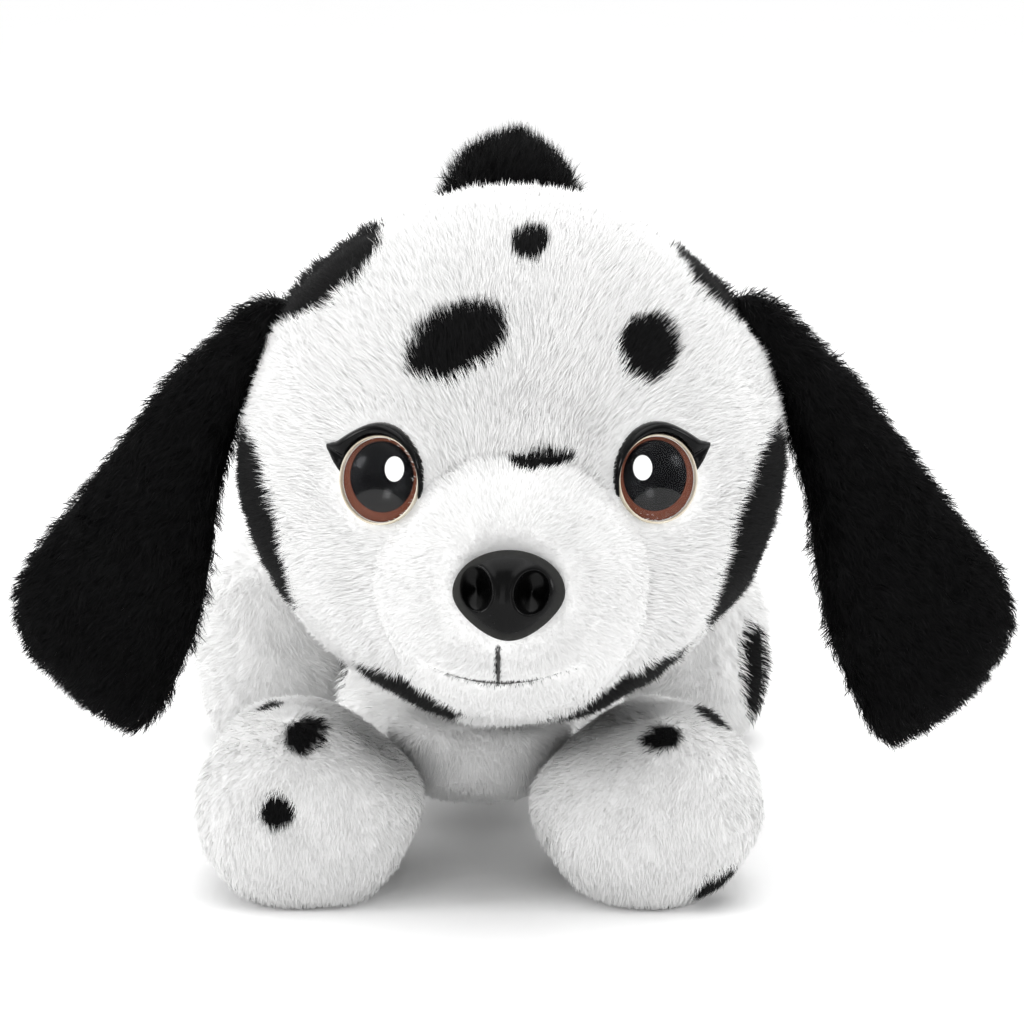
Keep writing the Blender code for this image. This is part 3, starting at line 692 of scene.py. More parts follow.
def nose_material():
    """Satin black that turns matte and a little lighter in the band round the nose's edge, with painted
    shade that turns its nostrils near-black.
    """
    made, tree, shader = new_material("nose_plastic")
    band = attribute(tree, "band")
    matte = mixed_colour(tree, band, (0.0015, 0.0015, 0.0016), (0.016, 0.016, 0.015))
    # Painted shade: the nostrils' hollows are coloured near-black.
    matte = mixed_colour(tree, attribute(tree, "hollow"), matte, (0.0002, 0.0002, 0.0002))
    tree.links.new(matte, shader.inputs["Base Color"])
    worn = ranged(tree, noise(tree, 700.0, 3.0), 0.3, 0.7, -0.04, 0.04)
    polish = arithmetic(tree, "ADD", ranged(tree, band, 0.0, 1.0, 0.24, 0.62), worn)
    tree.links.new(polish, shader.inputs["Roughness"])
    shader.inputs["Specular IOR Level"].default_value = 0.13
    bumped(tree, shader, noise(tree, 2200.0, 3.0), 0.10, 0.1 * MM)
    return made


def inside_round(tree, place, centre, radii):
    """1 inside an ellipse on the disc's face and 0 outside it, with a crisp printed edge."""
    spread = tree.nodes.new("ShaderNodeMapping")
    spread.vector_type = "POINT"
    spread.inputs["Location"].default_value = (-centre[0] / radii[0], -centre[1] / radii[1], 0.0)
    spread.inputs["Scale"].default_value = (1 / (radii[0] * MM), 1 / (radii[1] * MM), 0.0)
    tree.links.new(place, spread.inputs["Vector"])
    reach = tree.nodes.new("ShaderNodeVectorMath")
    reach.operation = "LENGTH"
    tree.links.new(spread.outputs["Vector"], reach.inputs[0])
    return ranged(tree, reach.outputs["Value"], 0.985, 1.015, 1.0, 0.0)


def iris_material(side):
    """The print behind the dome: a brown ring, a black pupil set up and inwards, and its highlight, with a
    painted reflection in dark grey across the pupil's foot.
    """
    made, tree, shader = new_material(f"iris_print_and_reflection_{'left' if side < 0 else 'right'}")
    place = tree.nodes.new("ShaderNodeTexCoord").outputs["Object"]
    inwards = -side
    pupil = inside_round(tree, place, (0.45 * inwards, 0.80), (8.15, 8.05))
    # Painted reflection: where the pupil meets a circle below it, its black is lifted to dark grey.
    below = inside_round(tree, place, (0.0, -11.2), (9.4, 9.1))
    glow = arithmetic(tree, "MULTIPLY", pupil, below)
    spark = inside_round(tree, place, (3.5 * inwards, 2.8), (2.45, 2.85))
    grain = ranged(tree, noise(tree, 900.0, 3.0), 0.3, 0.7, 0.0, 1.0)
    ring = mixed_colour(tree, grain, (0.135, 0.045, 0.028), (0.165, 0.058, 0.036))
    painted = mixed_colour(tree, pupil, ring, (0.0015, 0.0015, 0.002))
    painted = mixed_colour(tree, glow, painted, (0.024, 0.024, 0.024))
    painted = mixed_colour(tree, spark, painted, (0.98, 0.98, 0.97))
    tree.links.new(painted, shader.inputs["Base Color"])
    uneven_polish(tree, shader, 0.70, 0.85, 600.0)
    shader.inputs["Specular IOR Level"].default_value = 0.02
    bumped(tree, shader, noise(tree, 700.0), 0.02, 0.02 * MM)
    return made


DOME_MIRROR = 0.006  # the share of the light that the clear dome mirrors


def dome_material():
    """Clear hard plastic: it lets the print show through and mirrors a little of the studio."""
    made, tree, shader = new_material("dome_clear")
    shader.inputs["Metallic"].default_value = 1.0
    shader.inputs["Alpha"].default_value = DOME_MIRROR
    cloud = ranged(tree, noise(tree, 90.0), 0.3, 0.7, 0.0, 1.0)
    tint = mixed_colour(tree, cloud, (0.90, 0.93, 1.0), (1.0, 1.0, 1.0))
    tree.links.new(tint, shader.inputs["Base Color"])
    uneven_polish(tree, shader, 0.11, 0.16, 120.0)
    return made


def thread_material():
    """Twisted dark thread."""
    made, tree, shader = new_material("thread_twist")
    twist = tree.nodes.new("ShaderNodeTexWave")
    twist.inputs["Scale"].default_value = 400.0
    twist.inputs["Distortion"].default_value = 1.5
    twist.bands_direction = "DIAGONAL"
    place = tree.nodes.new("ShaderNodeTexCoord")
    tree.links.new(place.outputs["Object"], twist.inputs["Vector"])
    strand = mixed_colour(tree, twist.outputs["Fac"], (0.012, 0.012, 0.012), (0.05, 0.048, 0.046))
    tree.links.new(strand, shader.inputs["Base Color"])
    tree.links.new(ranged(tree, twist.outputs["Fac"], 0.0, 1.0, 0.55, 0.75), shader.inputs["Roughness"])
    bumped(tree, shader, twist.outputs["Fac"], 0.5, 0.1 * MM)
    return made


def fibre_material():
    """Loose white fibre filling."""
    made, tree, shader = new_material("fibre_fill")
    strands = noise(tree, 700.0, 8.0)
    shade = mixed_colour(tree, strands, (0.70, 0.69, 0.66), (0.95, 0.95, 0.93))
    tree.links.new(shade, shader.inputs["Base Color"])
    tree.links.new(ranged(tree, strands, 0.3, 0.7, 0.85, 1.0), shader.inputs["Roughness"])
    bumped(tree, shader, strands, 0.8, 0.5 * MM)
    return made


WHITE = pile_material("white_pile", WHITE_TIP, WHITE_DEEP, 0.85, 0.15, 0.04)
SHORT = pile_material("short_pile", WHITE_TIP, (0.93, 0.93, 0.925), 0.88, 0.10, 0.04)
BLACK = pile_material("black_pile", BLACK_TIP, BLACK_DEEP, 0.50, 0.08, 0.0)
GLOSS = plastic_material("lid_plastic", (0.0010, 0.0010, 0.0012), (0.0022, 0.0022, 0.0025), 0.12, 0.13, 0.03)
CREAM = plastic_material("rim_plastic", (0.66, 0.58, 0.44), (0.78, 0.72, 0.60), 0.25, 0.5, 0.05)
LOCK = plastic_material("washer_plastic", (0.60, 0.60, 0.58), (0.78, 0.78, 0.76), 0.50, 0.4, 0.20)
NOSE_BLACK = nose_material()
DOME = dome_material()
THREAD = thread_material()
FIBRE = fibre_material()


# ---------------------------------------------------------------- head
head_rows = fitted(HEAD_ROWS, HEAD_BOX)
head_x = float((HEAD_BOX[0][0] + HEAD_BOX[1][0]) / 2)
HEAD_FRONT_PLACES = (0.02, 7.5, 3000)  # first and last place, in rows, and how many are tried between


def head_front(across, height):
    """The head's foremost point at a place across and a height, or the nearest row's if there is none."""
    places = np.linspace(*HEAD_FRONT_PLACES)
    along, wide, tall, middle = flowing(head_rows, places).T
    reach = ((across - head_x) / wide) ** 2 + ((height - middle) / tall) ** 2
    index = np.argmax(reach <= 1) if (reach <= 1).any() else np.argmin(reach)
    return Vector((across, along[index], height))


def node_middle(node):
    """The middle of a CAD node's box."""
    low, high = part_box(node)
    return (low + high) / 2


def facing(origin, outwards):
    """A matrix with Z along outwards, Y up, and X to the right of someone facing the puppy."""
    z_axis = Vector(outwards).normalized()
    x_axis = Vector((0, 0, 1)).cross(z_axis).normalized()
    y_axis = z_axis.cross(x_axis)
    return Matrix.Translation(origin) @ Matrix((x_axis, y_axis, z_axis)).transposed().to_4x4()


EYE_YAW = math.radians(26)
EYE_PITCH = math.radians(9)
EYE_WASHER_DEPTH = 6.7 * MM  # from an eye's back plane to the middle of its washer
NOSE_WASHER_DEPTH = 8.7 * MM
NOSE_TILT = 0.22


def eye_matrix(side_name):
    """An eye's back plane, found from its washer."""
    across = SIDES[side_name] * math.sin(EYE_YAW) * math.cos(EYE_PITCH)
    outwards = Vector((across, -math.cos(EYE_YAW) * math.cos(EYE_PITCH), math.sin(EYE_PITCH)))
    origin = node_middle(f"eye_{side_name}_washer") + outwards * EYE_WASHER_DEPTH
    return facing(origin, outwards)


EYES = {side_name: eye_matrix(side_name) for side_name in SIDES}
NOSE_OUT = Vector((0.0, -1.0, NOSE_TILT)).normalized()
NOSE = facing(node_middle("nose_washer") + NOSE_OUT * NOSE_WASHER_DEPTH, NOSE_OUT)


def in_frame(points, matrix):
    """Points in a matrix's own coordinates."""
    inverse = np.array(matrix.inverted())
    return points @ inverse[:3, :3].T + inverse[:3, 3]


def pressed(grid, matrix, radius, blend, depth):
    """A grid pressed flat behind a fitting: within radius it lies at depth, and it eases out over blend."""
    local = in_frame(grid, matrix)
    reach = np.hypot(local[..., 0], local[..., 1])
    share = 1 - smooth_step(reach, radius, radius + blend)
    share = np.where(np.abs(local[..., 2]) < 25 * MM, share, 0)
    move = (depth - local[..., 2]) * share
    return grid + move[..., None] * np.array(matrix.to_3x3().col[2])


MOUTH_LOW, MOUTH_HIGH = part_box("mouth_smile")
PHILTRUM_LOW, PHILTRUM_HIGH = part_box("mouth_philtrum")
MOUTH_X = (PHILTRUM_LOW.x + PHILTRUM_HIGH.x) / 2
MOUTH_REACH = (MOUTH_HIGH.x - MOUTH_LOW.x) / 2
THREAD_RADIUS = 0.5 * MM
THREAD_SINK = -0.50 * MM  # along Y from the muzzle's surface


def mouth_height(across):
    """The smile's height at a place across."""
    rise = MOUTH_HIGH.z - MOUTH_LOW.z - 2 * THREAD_RADIUS
    return MOUTH_LOW.z + THREAD_RADIUS + rise * ((across - MOUTH_X) / MOUTH_REACH) ** 2


def mouth_distance(grid):
    """How far points of the muzzle lie from the smile or the upright stitch, seen from the front."""
    across, height = grid[..., 0], grid[..., 2]
    beside = np.maximum(np.abs(across - MOUTH_X) - MOUTH_REACH, 0)
    smile = np.hypot(height - mouth_height(np.clip(across, MOUTH_LOW.x, MOUTH_HIGH.x)), beside)
    beyond = np.maximum(height - PHILTRUM_HIGH.z, 0) + np.maximum(PHILTRUM_LOW.z - height, 0)
    nearest = np.minimum(smile, np.hypot(across - MOUTH_X, beyond))
    return np.where(grid[..., 1] < MUZZLE_SEAM_Y, nearest, FAR)


def head_skin(start, end, rows, closed=""):
    """The head's sewn surface between two places: full over the brow, sunk at the seam and the mouth,
    and pressed in under its fittings."""
    angles = np.linspace(0, 2 * math.pi, HEAD_COLUMNS, endpoint=False)
    grid = loft(head_rows, head_x, places_between(start, end, rows, closed), angles)
    normals = grid_normals(grid)
    low, high = HEAD_BOX[0][2], HEAD_BOX[1][2]
    full = smooth_step(grid[..., 2], low + 0.10 * (high - low), low + 0.45 * (high - low))
    behind_seam = smooth_step(grid[..., 1], MUZZLE_SEAM_Y, MUZZLE_SEAM_Y + 9 * MM)
    seam = np.exp(-(((grid[..., 1] - MUZZLE_SEAM_Y) / (1.6 * MM)) ** 2))
    crown = np.exp(-(((grid[..., 1] - CROWN_SEAM_Y) / (1.4 * MM)) ** 2))
    mouth = 1 - smooth_step(mouth_distance(grid), 0.0, 3.2 * MM)
    soft = waves(grid, 26 * MM, 3)
    bulge = 1 - smooth_step(grid[..., 1], MUZZLE_SEAM_Y - 7 * MM, MUZZLE_SEAM_Y)
    move = 1.9 * full * behind_seam + 1.2 * bulge - 0.9 * seam - 0.8 * crown - 0.8 * mouth + 0.35 * soft
    grid = grid + normals * (move * MM)[..., None]
    for matrix in EYES.values():
        grid = pressed(grid, matrix, 11 * MM, 6 * MM, 0.4 * MM)
    return pressed(grid, NOSE, 9.5 * MM, 5 * MM, -0.4 * MM)


def near_fittings(grid):
    """How long the pile is near the eyes, nose and mouth, as a share, and where there is none."""
    shape, thin = np.ones(grid.shape[:2]), np.ones(grid.shape[:2])
    for matrix in EYES.values():
        local = in_frame(grid, matrix)
        reach = np.hypot(local[..., 0], local[..., 1])
        reach = np.where(np.abs(local[..., 2]) < 20 * MM, reach, FAR)
        shape *= 0.30 + 0.70 * smooth_step(reach, 10 * MM, 17 * MM)
        thin *= reach > 9.8 * MM
    local = in_frame(grid, NOSE)
    reach = np.hypot(local[..., 0] / NOSE_HALF_WIDTH, local[..., 1] / NOSE_HALF_HEIGHT)
    reach = np.where(np.abs(local[..., 2]) < 12 * MM, reach, FAR)
    shape *= 0.45 + 0.55 * smooth_step(reach, 0.95, 1.6)
    thin *= reach > 0.92
    shape *= 0.62 + 0.38 * smooth_step(mouth_distance(grid), 0.6 * MM, 3.5 * MM)
    return shape, thin


def spot(across, height, half_wide, half_high, tilt=0.0, deep=22.0):
    """A spot on the head's front: its place across, height and half sizes in millimetres."""
    centre = head_front(across * MM, height * MM)
    return centre, (half_wide * MM, deep * MM, half_high * MM), tilt


HEAD_SPOTS = [
    spot(-12.0, 129.5, 12.2, 7.2, 25),
    spot(29.7, 127.5, 6.6, 7.4, -35),
    spot(4.0, 149.5, 4.2, 3.6, 10),
    spot(-42.0, 141.0, 16.5, 7.0, 34, 20),
    spot(49.0, 139.5, 14.5, 6.5, -42, 20),
    spot(6.3, 105.0, 7.0, 1.5, 0),
    spot(-58.0, 84.0, 8.5, 23.0, 13, 22),
    spot(55.0, 84.0, 8.0, 26.0, -20, 22),
    ((-0.0235, -0.064, 0.050), (14 * MM, 20 * MM, 6 * MM), -16),
    ((0.0245, -0.060, 0.0505), (19 * MM, 20 * MM, 6 * MM), 19),
    ((-0.035, 0.012, 0.140), (13 * MM, 10 * MM, 12 * MM), 0),
    ((0.022, 0.014, 0.130), (9 * MM, 12 * MM, 10 * MM), 0),
    ((-0.004, 0.022, 0.112), (10 * MM, 9 * MM, 8 * MM), 0),
    ((0.045, 0.004, 0.108), (9 * MM, 9 * MM, 11 * MM), 0),
    ((-0.046, 0.006, 0.098), (9 * MM, 11 * MM, 9 * MM), 0),
]


def brushed(normals, way):
    """A way, or one way for each point, laid into the surface."""
    way = np.broadcast_to(np.array(way, float), normals.shape)
    return unit(way - normals * (normals * way).sum(-1, keepdims=True) + 1e-7)


def make_head():
    """Muzzle, face and back of the head, and the filling in them."""
    last = len(head_rows) - 1
    muzzle = place_of(head_rows, MUZZLE_SEAM_Y)
    crown = place_of(head_rows, CROWN_SEAM_Y)
    start, end = END_PLACE, last - END_PLACE
    panels = (
        ("head_muzzle", "muzzle_panel", start, muzzle, 60, "start", SHORT, "short_white_pile", MUZZLE_PILE),
        ("head_face", "face_panel", muzzle, crown, 80, "", WHITE, "spotted_white_pile", FACE_PILE),
        ("head_back", "head_back", crown, end, 60, "end", WHITE, "spotted_white_pile", CROWN_PILE),
    )
    for k, (name, node, first, final, rows, closed, finish, slot, pile) in enumerate(panels):
        skin = head_skin(first, final, rows, closed)
        shape, thin = near_fittings(skin)
        away = unit(skin - np.array(NOSE.translation)) + np.array([0, 0, -0.25])
        lie = brushed(grid_normals(skin), away)
        # Partly painted shade: the pile turns black along the smile and the upright stitch, for the dark
        # hairs there and the shade under the thread.
        mouth_shade = 0.10 - mouth_distance(skin) / (5 * MM) - np.abs(skin[..., 0] - MOUTH_X) / (150 * MM)
        if node == "muzzle_panel":
            shape = shape * (1 + 0.5 * smooth_step(skin[..., 1], MUZZLE_SEAM_Y - 9 * MM, MUZZLE_SEAM_Y))
        pile = {**pile, "shape": shape, "thin": thin, "dark": mouth_shade}
        pile["density"] /= pile.get("batches", 1)
        plush(name, "head", [node], skin, lie, pile, HEAD_SPOTS, finish, closed, 10 + 10 * k)
    fill = stuffing("head", "head", head_skin(start, end, 90, "both"), 14)
    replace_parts(fill, "head_stuffing")


# ---------------------------------------------------------------- eyes, nose and mouth
def turned(name, profile, matrix, finish, steps=96, ring=False):
    """A turned piece: its profile is (radius, height) in millimetres. A ring's profile is a closed loop."""
    profile = np.array(profile, float) * MM
    angles = np.linspace(0, 2 * math.pi, steps, endpoint=False)
    grid = np.stack(
        [
            profile[:, :1] * np.cos(angles)[None, :],
            profile[:, :1] * np.sin(angles)[None, :],
            np.repeat(profile[:, 1:], steps, axis=1),
        ],
        axis=-1,
    )
    if ring:
        grid = np.concatenate([grid, grid[:1]], axis=0)
    rows = len(grid)
    shape = bmesh.new()
    points = [shape.verts.new(point) for point in grid[: rows - 1 if ring else rows].reshape(-1, 3)]
    count = len(points)
    for i in range(rows - 1):
        for j in range(steps):
            following = (j + 1) % steps
            here, above = i * steps, (i + 1) * steps
            corners = [here + j, here + following, above + following, above + j]
            shape.faces.new([points[c % count] for c in corners])
    bmesh.ops.remove_doubles(shape, verts=shape.verts, dist=0.001 * MM)
    bmesh.ops.recalc_face_normals(shape, faces=shape.faces)
    for face in shape.faces:
        face.smooth = True
    mesh = bpy.data.meshes.new(name)
    shape.to_mesh(mesh)
    shape.free()
    made = add_object(name, mesh, finish)
    made.matrix_world = matrix
    return made


def rounded(corners, radius, steps=4):
    """A loop of corners, in millimetres, with each corner rounded."""
    made = []
    count = len(corners)
    for k, corner in enumerate(corners):
        here = np.array(corner, float)
        before = np.array(corners[k - 1], float) - here
        after = np.array(corners[(k + 1) % count], float) - here
        start = here + before / np.linalg.norm(before) * radius
        end = here + after / np.linalg.norm(after) * radius
        for share in np.linspace(0, 1, steps):
            made.append((1 - share) ** 2 * start + 2 * share * (1 - share) * here + share**2 * end)
    return made


# The lid's rows: angle from the nose side over the top in degrees, then width, height and inner radius.
LID_ROWS = (
    (-20.0, 0.0, 0.0, 10.3),
    (-12.0, 0.7, 1.6, 10.2),
    (10.0, 1.1, 2.6, 10.0),
    (45.0, 1.8, 3.2, 9.9),
    (88.0, 3.1, 3.5, 9.9),
    (122.0, 3.0, 3.4, 9.9),
    (143.0, 3.9, 3.0, 9.9),
    (151.0, 5.4, 2.4, 9.9),
    (155.0, 6.2, 1.8, 9.9),
    (160.0, 4.4, 1.9, 9.9),
    (168.0, 2.0, 1.6, 10.0),
    (176.0, 0.0, 0.0, 10.1),
)


def make_lid(side_name):
    """The glossy eyelid: an arc over the eye with a rounded back, drawn out to a flick at its outer end."""
    side = SIDES[side_name]
    steps, around = 160, 24
    angle, wide, high, inner = flowing(LID_ROWS, np.linspace(0.04, len(LID_ROWS) - 1.04, steps)).T
    angle = np.radians(angle)[:, None]
    wide, high = np.maximum(wide, 0.05)[:, None], np.maximum(high, 0.05)[:, None]
    turn = np.linspace(0, 2 * math.pi, around, endpoint=False)[None, :]
    reach = inner[:, None] + wide * (0.5 - 0.5 * np.cos(turn))
    raised = np.maximum(np.sin(turn), 0) ** 0.8 * high + np.minimum(np.sin(turn), 0) * 0.5
    across = -side * np.cos(angle) * reach
    grid = np.stack([across, np.sin(angle) * reach, np.broadcast_to(raised, reach.shape)], axis=-1) * MM
    piece = closed_tube(f"eye_{side_name}_lid_moulded", grid, GLOSS)
    piece.matrix_world = EYES[side_name]
    return piece


def closed_tube(name, grid, finish, values=None):
    """A closed piece from rings of points, both its ends fanned to a middle point."""
    mesh = build_mesh(name, *capped(grid), values or {})
    shape = bmesh.new()
    shape.from_mesh(mesh)
    bmesh.ops.recalc_face_normals(shape, faces=shape.faces)
    shape.to_mesh(mesh)
    shape.free()
    return add_object(name, mesh, finish)


def dress(piece, body, node):
    """Puts a finished piece in a CAD node's place."""
    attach(piece, body)
    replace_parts(piece, node)


def make_eyes():
    """Both safety eyes: rim, printed disc on its post, clear dome, lid and lock washer."""
    rim = rounded([(9.7, -0.8), (10.2, -0.8), (10.2, 1.2), (10.0, 1.6), (9.7, 1.5)], 0.12)
    disc_edge = 9.5
    disc = [(0, -9.0), (1.7, -9.0), (1.9, -8.6), (1.9, -0.8), (9.2, -0.8), (disc_edge, -0.5)]
    disc += [(disc_edge, 0.5), (9.2, 0.8), (4.0, 0.8), (0, 0.8)]
    arc = [(disc_edge * math.cos(a), 1.6 + 4.1 * math.sin(a)) for a in np.linspace(0, math.pi / 2, 28)]
    dome = [(0, 1.1), (disc_edge - 0.1, 1.1), *arc]
    washer = rounded([(2.2, -7.4), (5.8, -7.4), (5.8, -6.0), (2.2, -6.0)], 0.3)
    for side_name, side in SIDES.items():
        matrix, name = EYES[side_name], f"eye_{side_name}"
        dress(turned(f"{name}_rim_ring", rim, matrix, CREAM, ring=True), "head", f"{name}_rim")
        dress(turned(f"{name}_print", disc, matrix, iris_material(side)), "head", f"{name}_iris")
        dress(turned(f"{name}_dome", dome, matrix, DOME), "head", f"{name}_lens")
        lock = turned(f"{name}_lock", washer, matrix, LOCK, ring=True)
        dress(lock, "head", f"{name}_washer")
        dress(make_lid(side_name), "head", f"{name}_lid")


NOSE_HALF_WIDTH = 12.4 * MM
NOSE_HALF_HEIGHT = 10.0 * MM
NOSE_HEIGHT = 7.6 * MM
NOSE_COLUMNS = 160
NOSTRILS = ((-7.1, 0.9, 3.5, 5.0, 8.0), (5.0, 0.1, 3.9, 5.0, -14.0))  # middle, half sizes in mm, and lean


def nose_outline(angle):
    """How far the nose reaches at an angle: broad above, and drawn in to a blunt point below."""
    lower = np.maximum(-np.sin(angle), 0)
    across = np.cos(angle) * (1 - 0.20 * lower**1.6)
    up = np.sin(angle) * (1 + 0.06 * lower**3 - 0.06 * (1 - lower))
    return across * NOSE_HALF_WIDTH, up * NOSE_HALF_HEIGHT


def nose_face(across, up, share):
    """Height of the nose's face: domed, hollowed at the nostrils inside raised rims, creased below; and the
    share of painted shade in the nostrils.
    """
    height = NOSE_HEIGHT * (1 - share**2.6) ** 0.75
    inside = np.zeros_like(height)
    for middle, rise, half_wide, half_high, lean in NOSTRILS:
        turn = math.radians(lean)
        x, y = across / MM - middle, up / MM - rise
        x, y = x * math.cos(turn) + y * math.sin(turn), y * math.cos(turn) - x * math.sin(turn)
        reach = np.hypot(x / half_wide, y / half_high)
        hollow = np.clip(1 - reach, 0, 1) ** 0.7
        ring = np.exp(-(((reach - 1.16) / 0.20) ** 2))
        height = height - 6.5 * MM * hollow + 0.60 * MM * ring * (1 - share**4)
        # The nostrils' painted shade grows with the depth of each hollow.
        inside = np.maximum(inside, smooth_step(hollow, 0.05, 0.45))
    crease = np.exp(-(((across / MM + 1.2) / 0.9) ** 2)) * smooth_step(-up / MM, 2.0, 6.0)
    return height - 0.5 * MM * crease * (1 - share**6), inside


def make_nose():
    """The moulded nose on its post, with the lock washer."""
    angles = np.linspace(0, 2 * math.pi, NOSE_COLUMNS, endpoint=False)
    flat = np.zeros(NOSE_COLUMNS)
    edge_across, edge_up = nose_outline(angles)
    rings, bands, nostril_shades = [], [], []
    for radius, height in ((0.2, -11.0), (1.7, -11.0), (1.9, -10.6), (1.9, 0.0)):
        rings.append([(radius * MM * math.cos(a), radius * MM * math.sin(a), height * MM) for a in angles])
        bands.append(0.0)
        nostril_shades.append(flat)
    for share, height in ((0.80, 0.0), (0.90, 0.3), (0.96, 0.9)):
        rings.append(np.stack([edge_across * share, edge_up * share, flat + height * MM], axis=1))
        bands.append(1.0)
        nostril_shades.append(flat)
    lift = 2.0 * MM
    for share in np.sin(np.linspace(math.pi / 2, 0.01, 70)):
        across, up = edge_across * share, edge_up * share
        height, inside = nose_face(across, up, share)
        height = lift + height * (1 - lift / NOSE_HEIGHT)
        nostril_shades.append(inside)
        rings.append(np.stack([across, up, height], axis=1))
        bands.append(float(smooth_step(share, 0.80, 0.93)))
    grid = np.array([np.asarray(ring) for ring in rings])
    band = np.concatenate([np.repeat(bands, NOSE_COLUMNS), [0.0, 0.0]])
    # Painted shade in the nostrils, one number per point.
    hollow = np.concatenate([*nostril_shades, [0.0, 0.0]])
    piece = closed_tube("nose_moulded", grid, NOSE_BLACK, {"band": band, "hollow": hollow})
    piece.matrix_world = NOSE
    dress(piece, "head", "nose")
    washer = rounded([(2.2, -9.4), (5.8, -9.4), (5.8, -8.0), (2.2, -8.0)], 0.3)
    dress(turned("nose_lock", washer, NOSE, LOCK, ring=True), "head", "nose_washer")


def make_thread(name, node, places, taper):
    """A stitch that follows the muzzle's fabric, thinner towards its ends by taper."""
    line = bpy.data.curves.new(name, "CURVE")
    line.dimensions = "3D"
    line.bevel_depth = THREAD_RADIUS
    line.bevel_resolution = 3
    line.use_fill_caps = True
    spline = line.splines.new("POLY")
    spline.points.add(len(places) - 1)
    for k, (point, (across, height)) in enumerate(zip(spline.points, places)):
        share = abs(2 * k / (len(places) - 1) - 1)
        point.co = (*(head_front(across, height) + Vector((0, THREAD_SINK, 0))), 1.0)
        point.radius = 0.75 - taper * share**2
    dress(add_object(name, line, THREAD), "head", node)


def make_mouth():
    """The smile and the upright stitch over it."""
    smile = [(x, mouth_height(x)) for x in np.linspace(MOUTH_X - MOUTH_REACH, MOUTH_X + MOUTH_REACH, 60)]
    make_thread("smile_stitch", "mouth_smile", smile, 0.45)
    upright = [(MOUTH_X, z) for z in np.linspace(mouth_height(MOUTH_X), PHILTRUM_HIGH.z, 20)]
    make_thread("upright_stitch", "mouth_philtrum", upright, 0.05)


# ---------------------------------------------------------------- neck, torso, legs, tail, ears
def make_neck():
    """The stuffed ball that the head turns on, in the same pile."""
    low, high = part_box("neck_stuffing")
    middle, radius = np.array((low + high) / 2), float(high.x - low.x) / 2
    polar = np.linspace(0.06, math.pi - 0.06, 40)[:, None]
    angles = np.linspace(0, 2 * math.pi, 64, endpoint=False)[None, :]
    across, up = np.sin(polar) * np.cos(angles), np.sin(polar) * np.sin(angles)
    ways = np.stack([across, -np.cos(polar) * np.ones_like(angles), up], axis=-1)
    skin = middle + ways * radius * (1 + 0.03 * waves(ways, 0.7, 5))[..., None]
    lie = brushed(grid_normals(skin), (0, 0.7, -0.7))
    nodes = ["neck_stuffing"]
    plush("neck", "neck", nodes, skin, lie, NECK_PILE, [], WHITE, "both", 35)
    stuffing("neck", "neck", skin, 36)


torso_rows = fitted(TORSO_ROWS, TORSO_BOX)
torso_x = float((TORSO_BOX[0][0] + TORSO_BOX[1][0]) / 2)
TORSO_SPOTS = [
    ((-0.020, 0.050, 0.088), (9 * MM, 11 * MM, 12 * MM), 0),
    ((0.014, 0.066, 0.086), (8 * MM, 8 * MM, 12 * MM), 0),
    ((-0.044, 0.060, 0.060), (10 * MM, 10 * MM, 8 * MM), 0),
    ((0.028, 0.045, 0.055), (10 * MM, 9 * MM, 9 * MM), 0),
    ((-0.042, 0.030, 0.030), (10 * MM, 7 * MM, 8 * MM), 0),
    ((0.010, 0.098, 0.062), (9 * MM, 10 * MM, 9 * MM), 0),
    ((-0.030, 0.096, 0.046), (8 * MM, 9 * MM, 9 * MM), 0),
    ((-0.004, 0.036, 0.084), (7 * MM, 7 * MM, 10 * MM), 0),
]


BIB_LOW, BIB_HIGH = 12 * MM, 32 * MM  # the bib grows broader between these heights
LEG_SLANT = 4.5 * MM  # how far a front leg's top leans outwards


def make_torso():
    """The torso: back and belly in one pile, denser on the bib that shows under the chin."""
    angles = np.linspace(0, 2 * math.pi, 120, endpoint=False)
    places = places_between(END_PLACE, len(torso_rows) - 1 - END_PLACE, 110, "both")
    grid = loft(torso_rows, torso_x, places, angles)
    bib = 1 - smooth_step(grid[..., 1], -22 * MM, 2 * MM)
    middles = grid.mean(axis=1, keepdims=True)
    squareness = (np.cos(angles) ** 4 + np.sin(angles) ** 4) ** -0.25 - 1
    grid = middles + (grid - middles) * (1 + squareness[None, :, None] * bib[..., None])
    broader = 0.20 + 0.55 * smooth_step(grid[..., 2], BIB_LOW, BIB_HIGH)
    grid[..., 0] = torso_x + (grid[..., 0] - torso_x) * (1 + broader * bib)
    grid = grid + grid_normals(grid) * (0.6 + 1.6 * bib + 0.5 * waves(grid, 30 * MM, 8))[..., None] * MM
    skin = swollen(grid, 1.5 * MM)
    pile = {**TORSO_PILE, "thin": 1 + 2.8 * bib, "shape": 1 - 0.35 * bib}
    lie = brushed(grid_normals(skin), (0, 0.35, -0.95))
    nodes, slot = ["body_skin", "belly_panel"], "spotted_white_pile"
    plush("torso", "torso", nodes, skin, lie, pile, TORSO_SPOTS, WHITE, "both", 40)
    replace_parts(stuffing("torso", "torso", skin, 41), "body_stuffing")


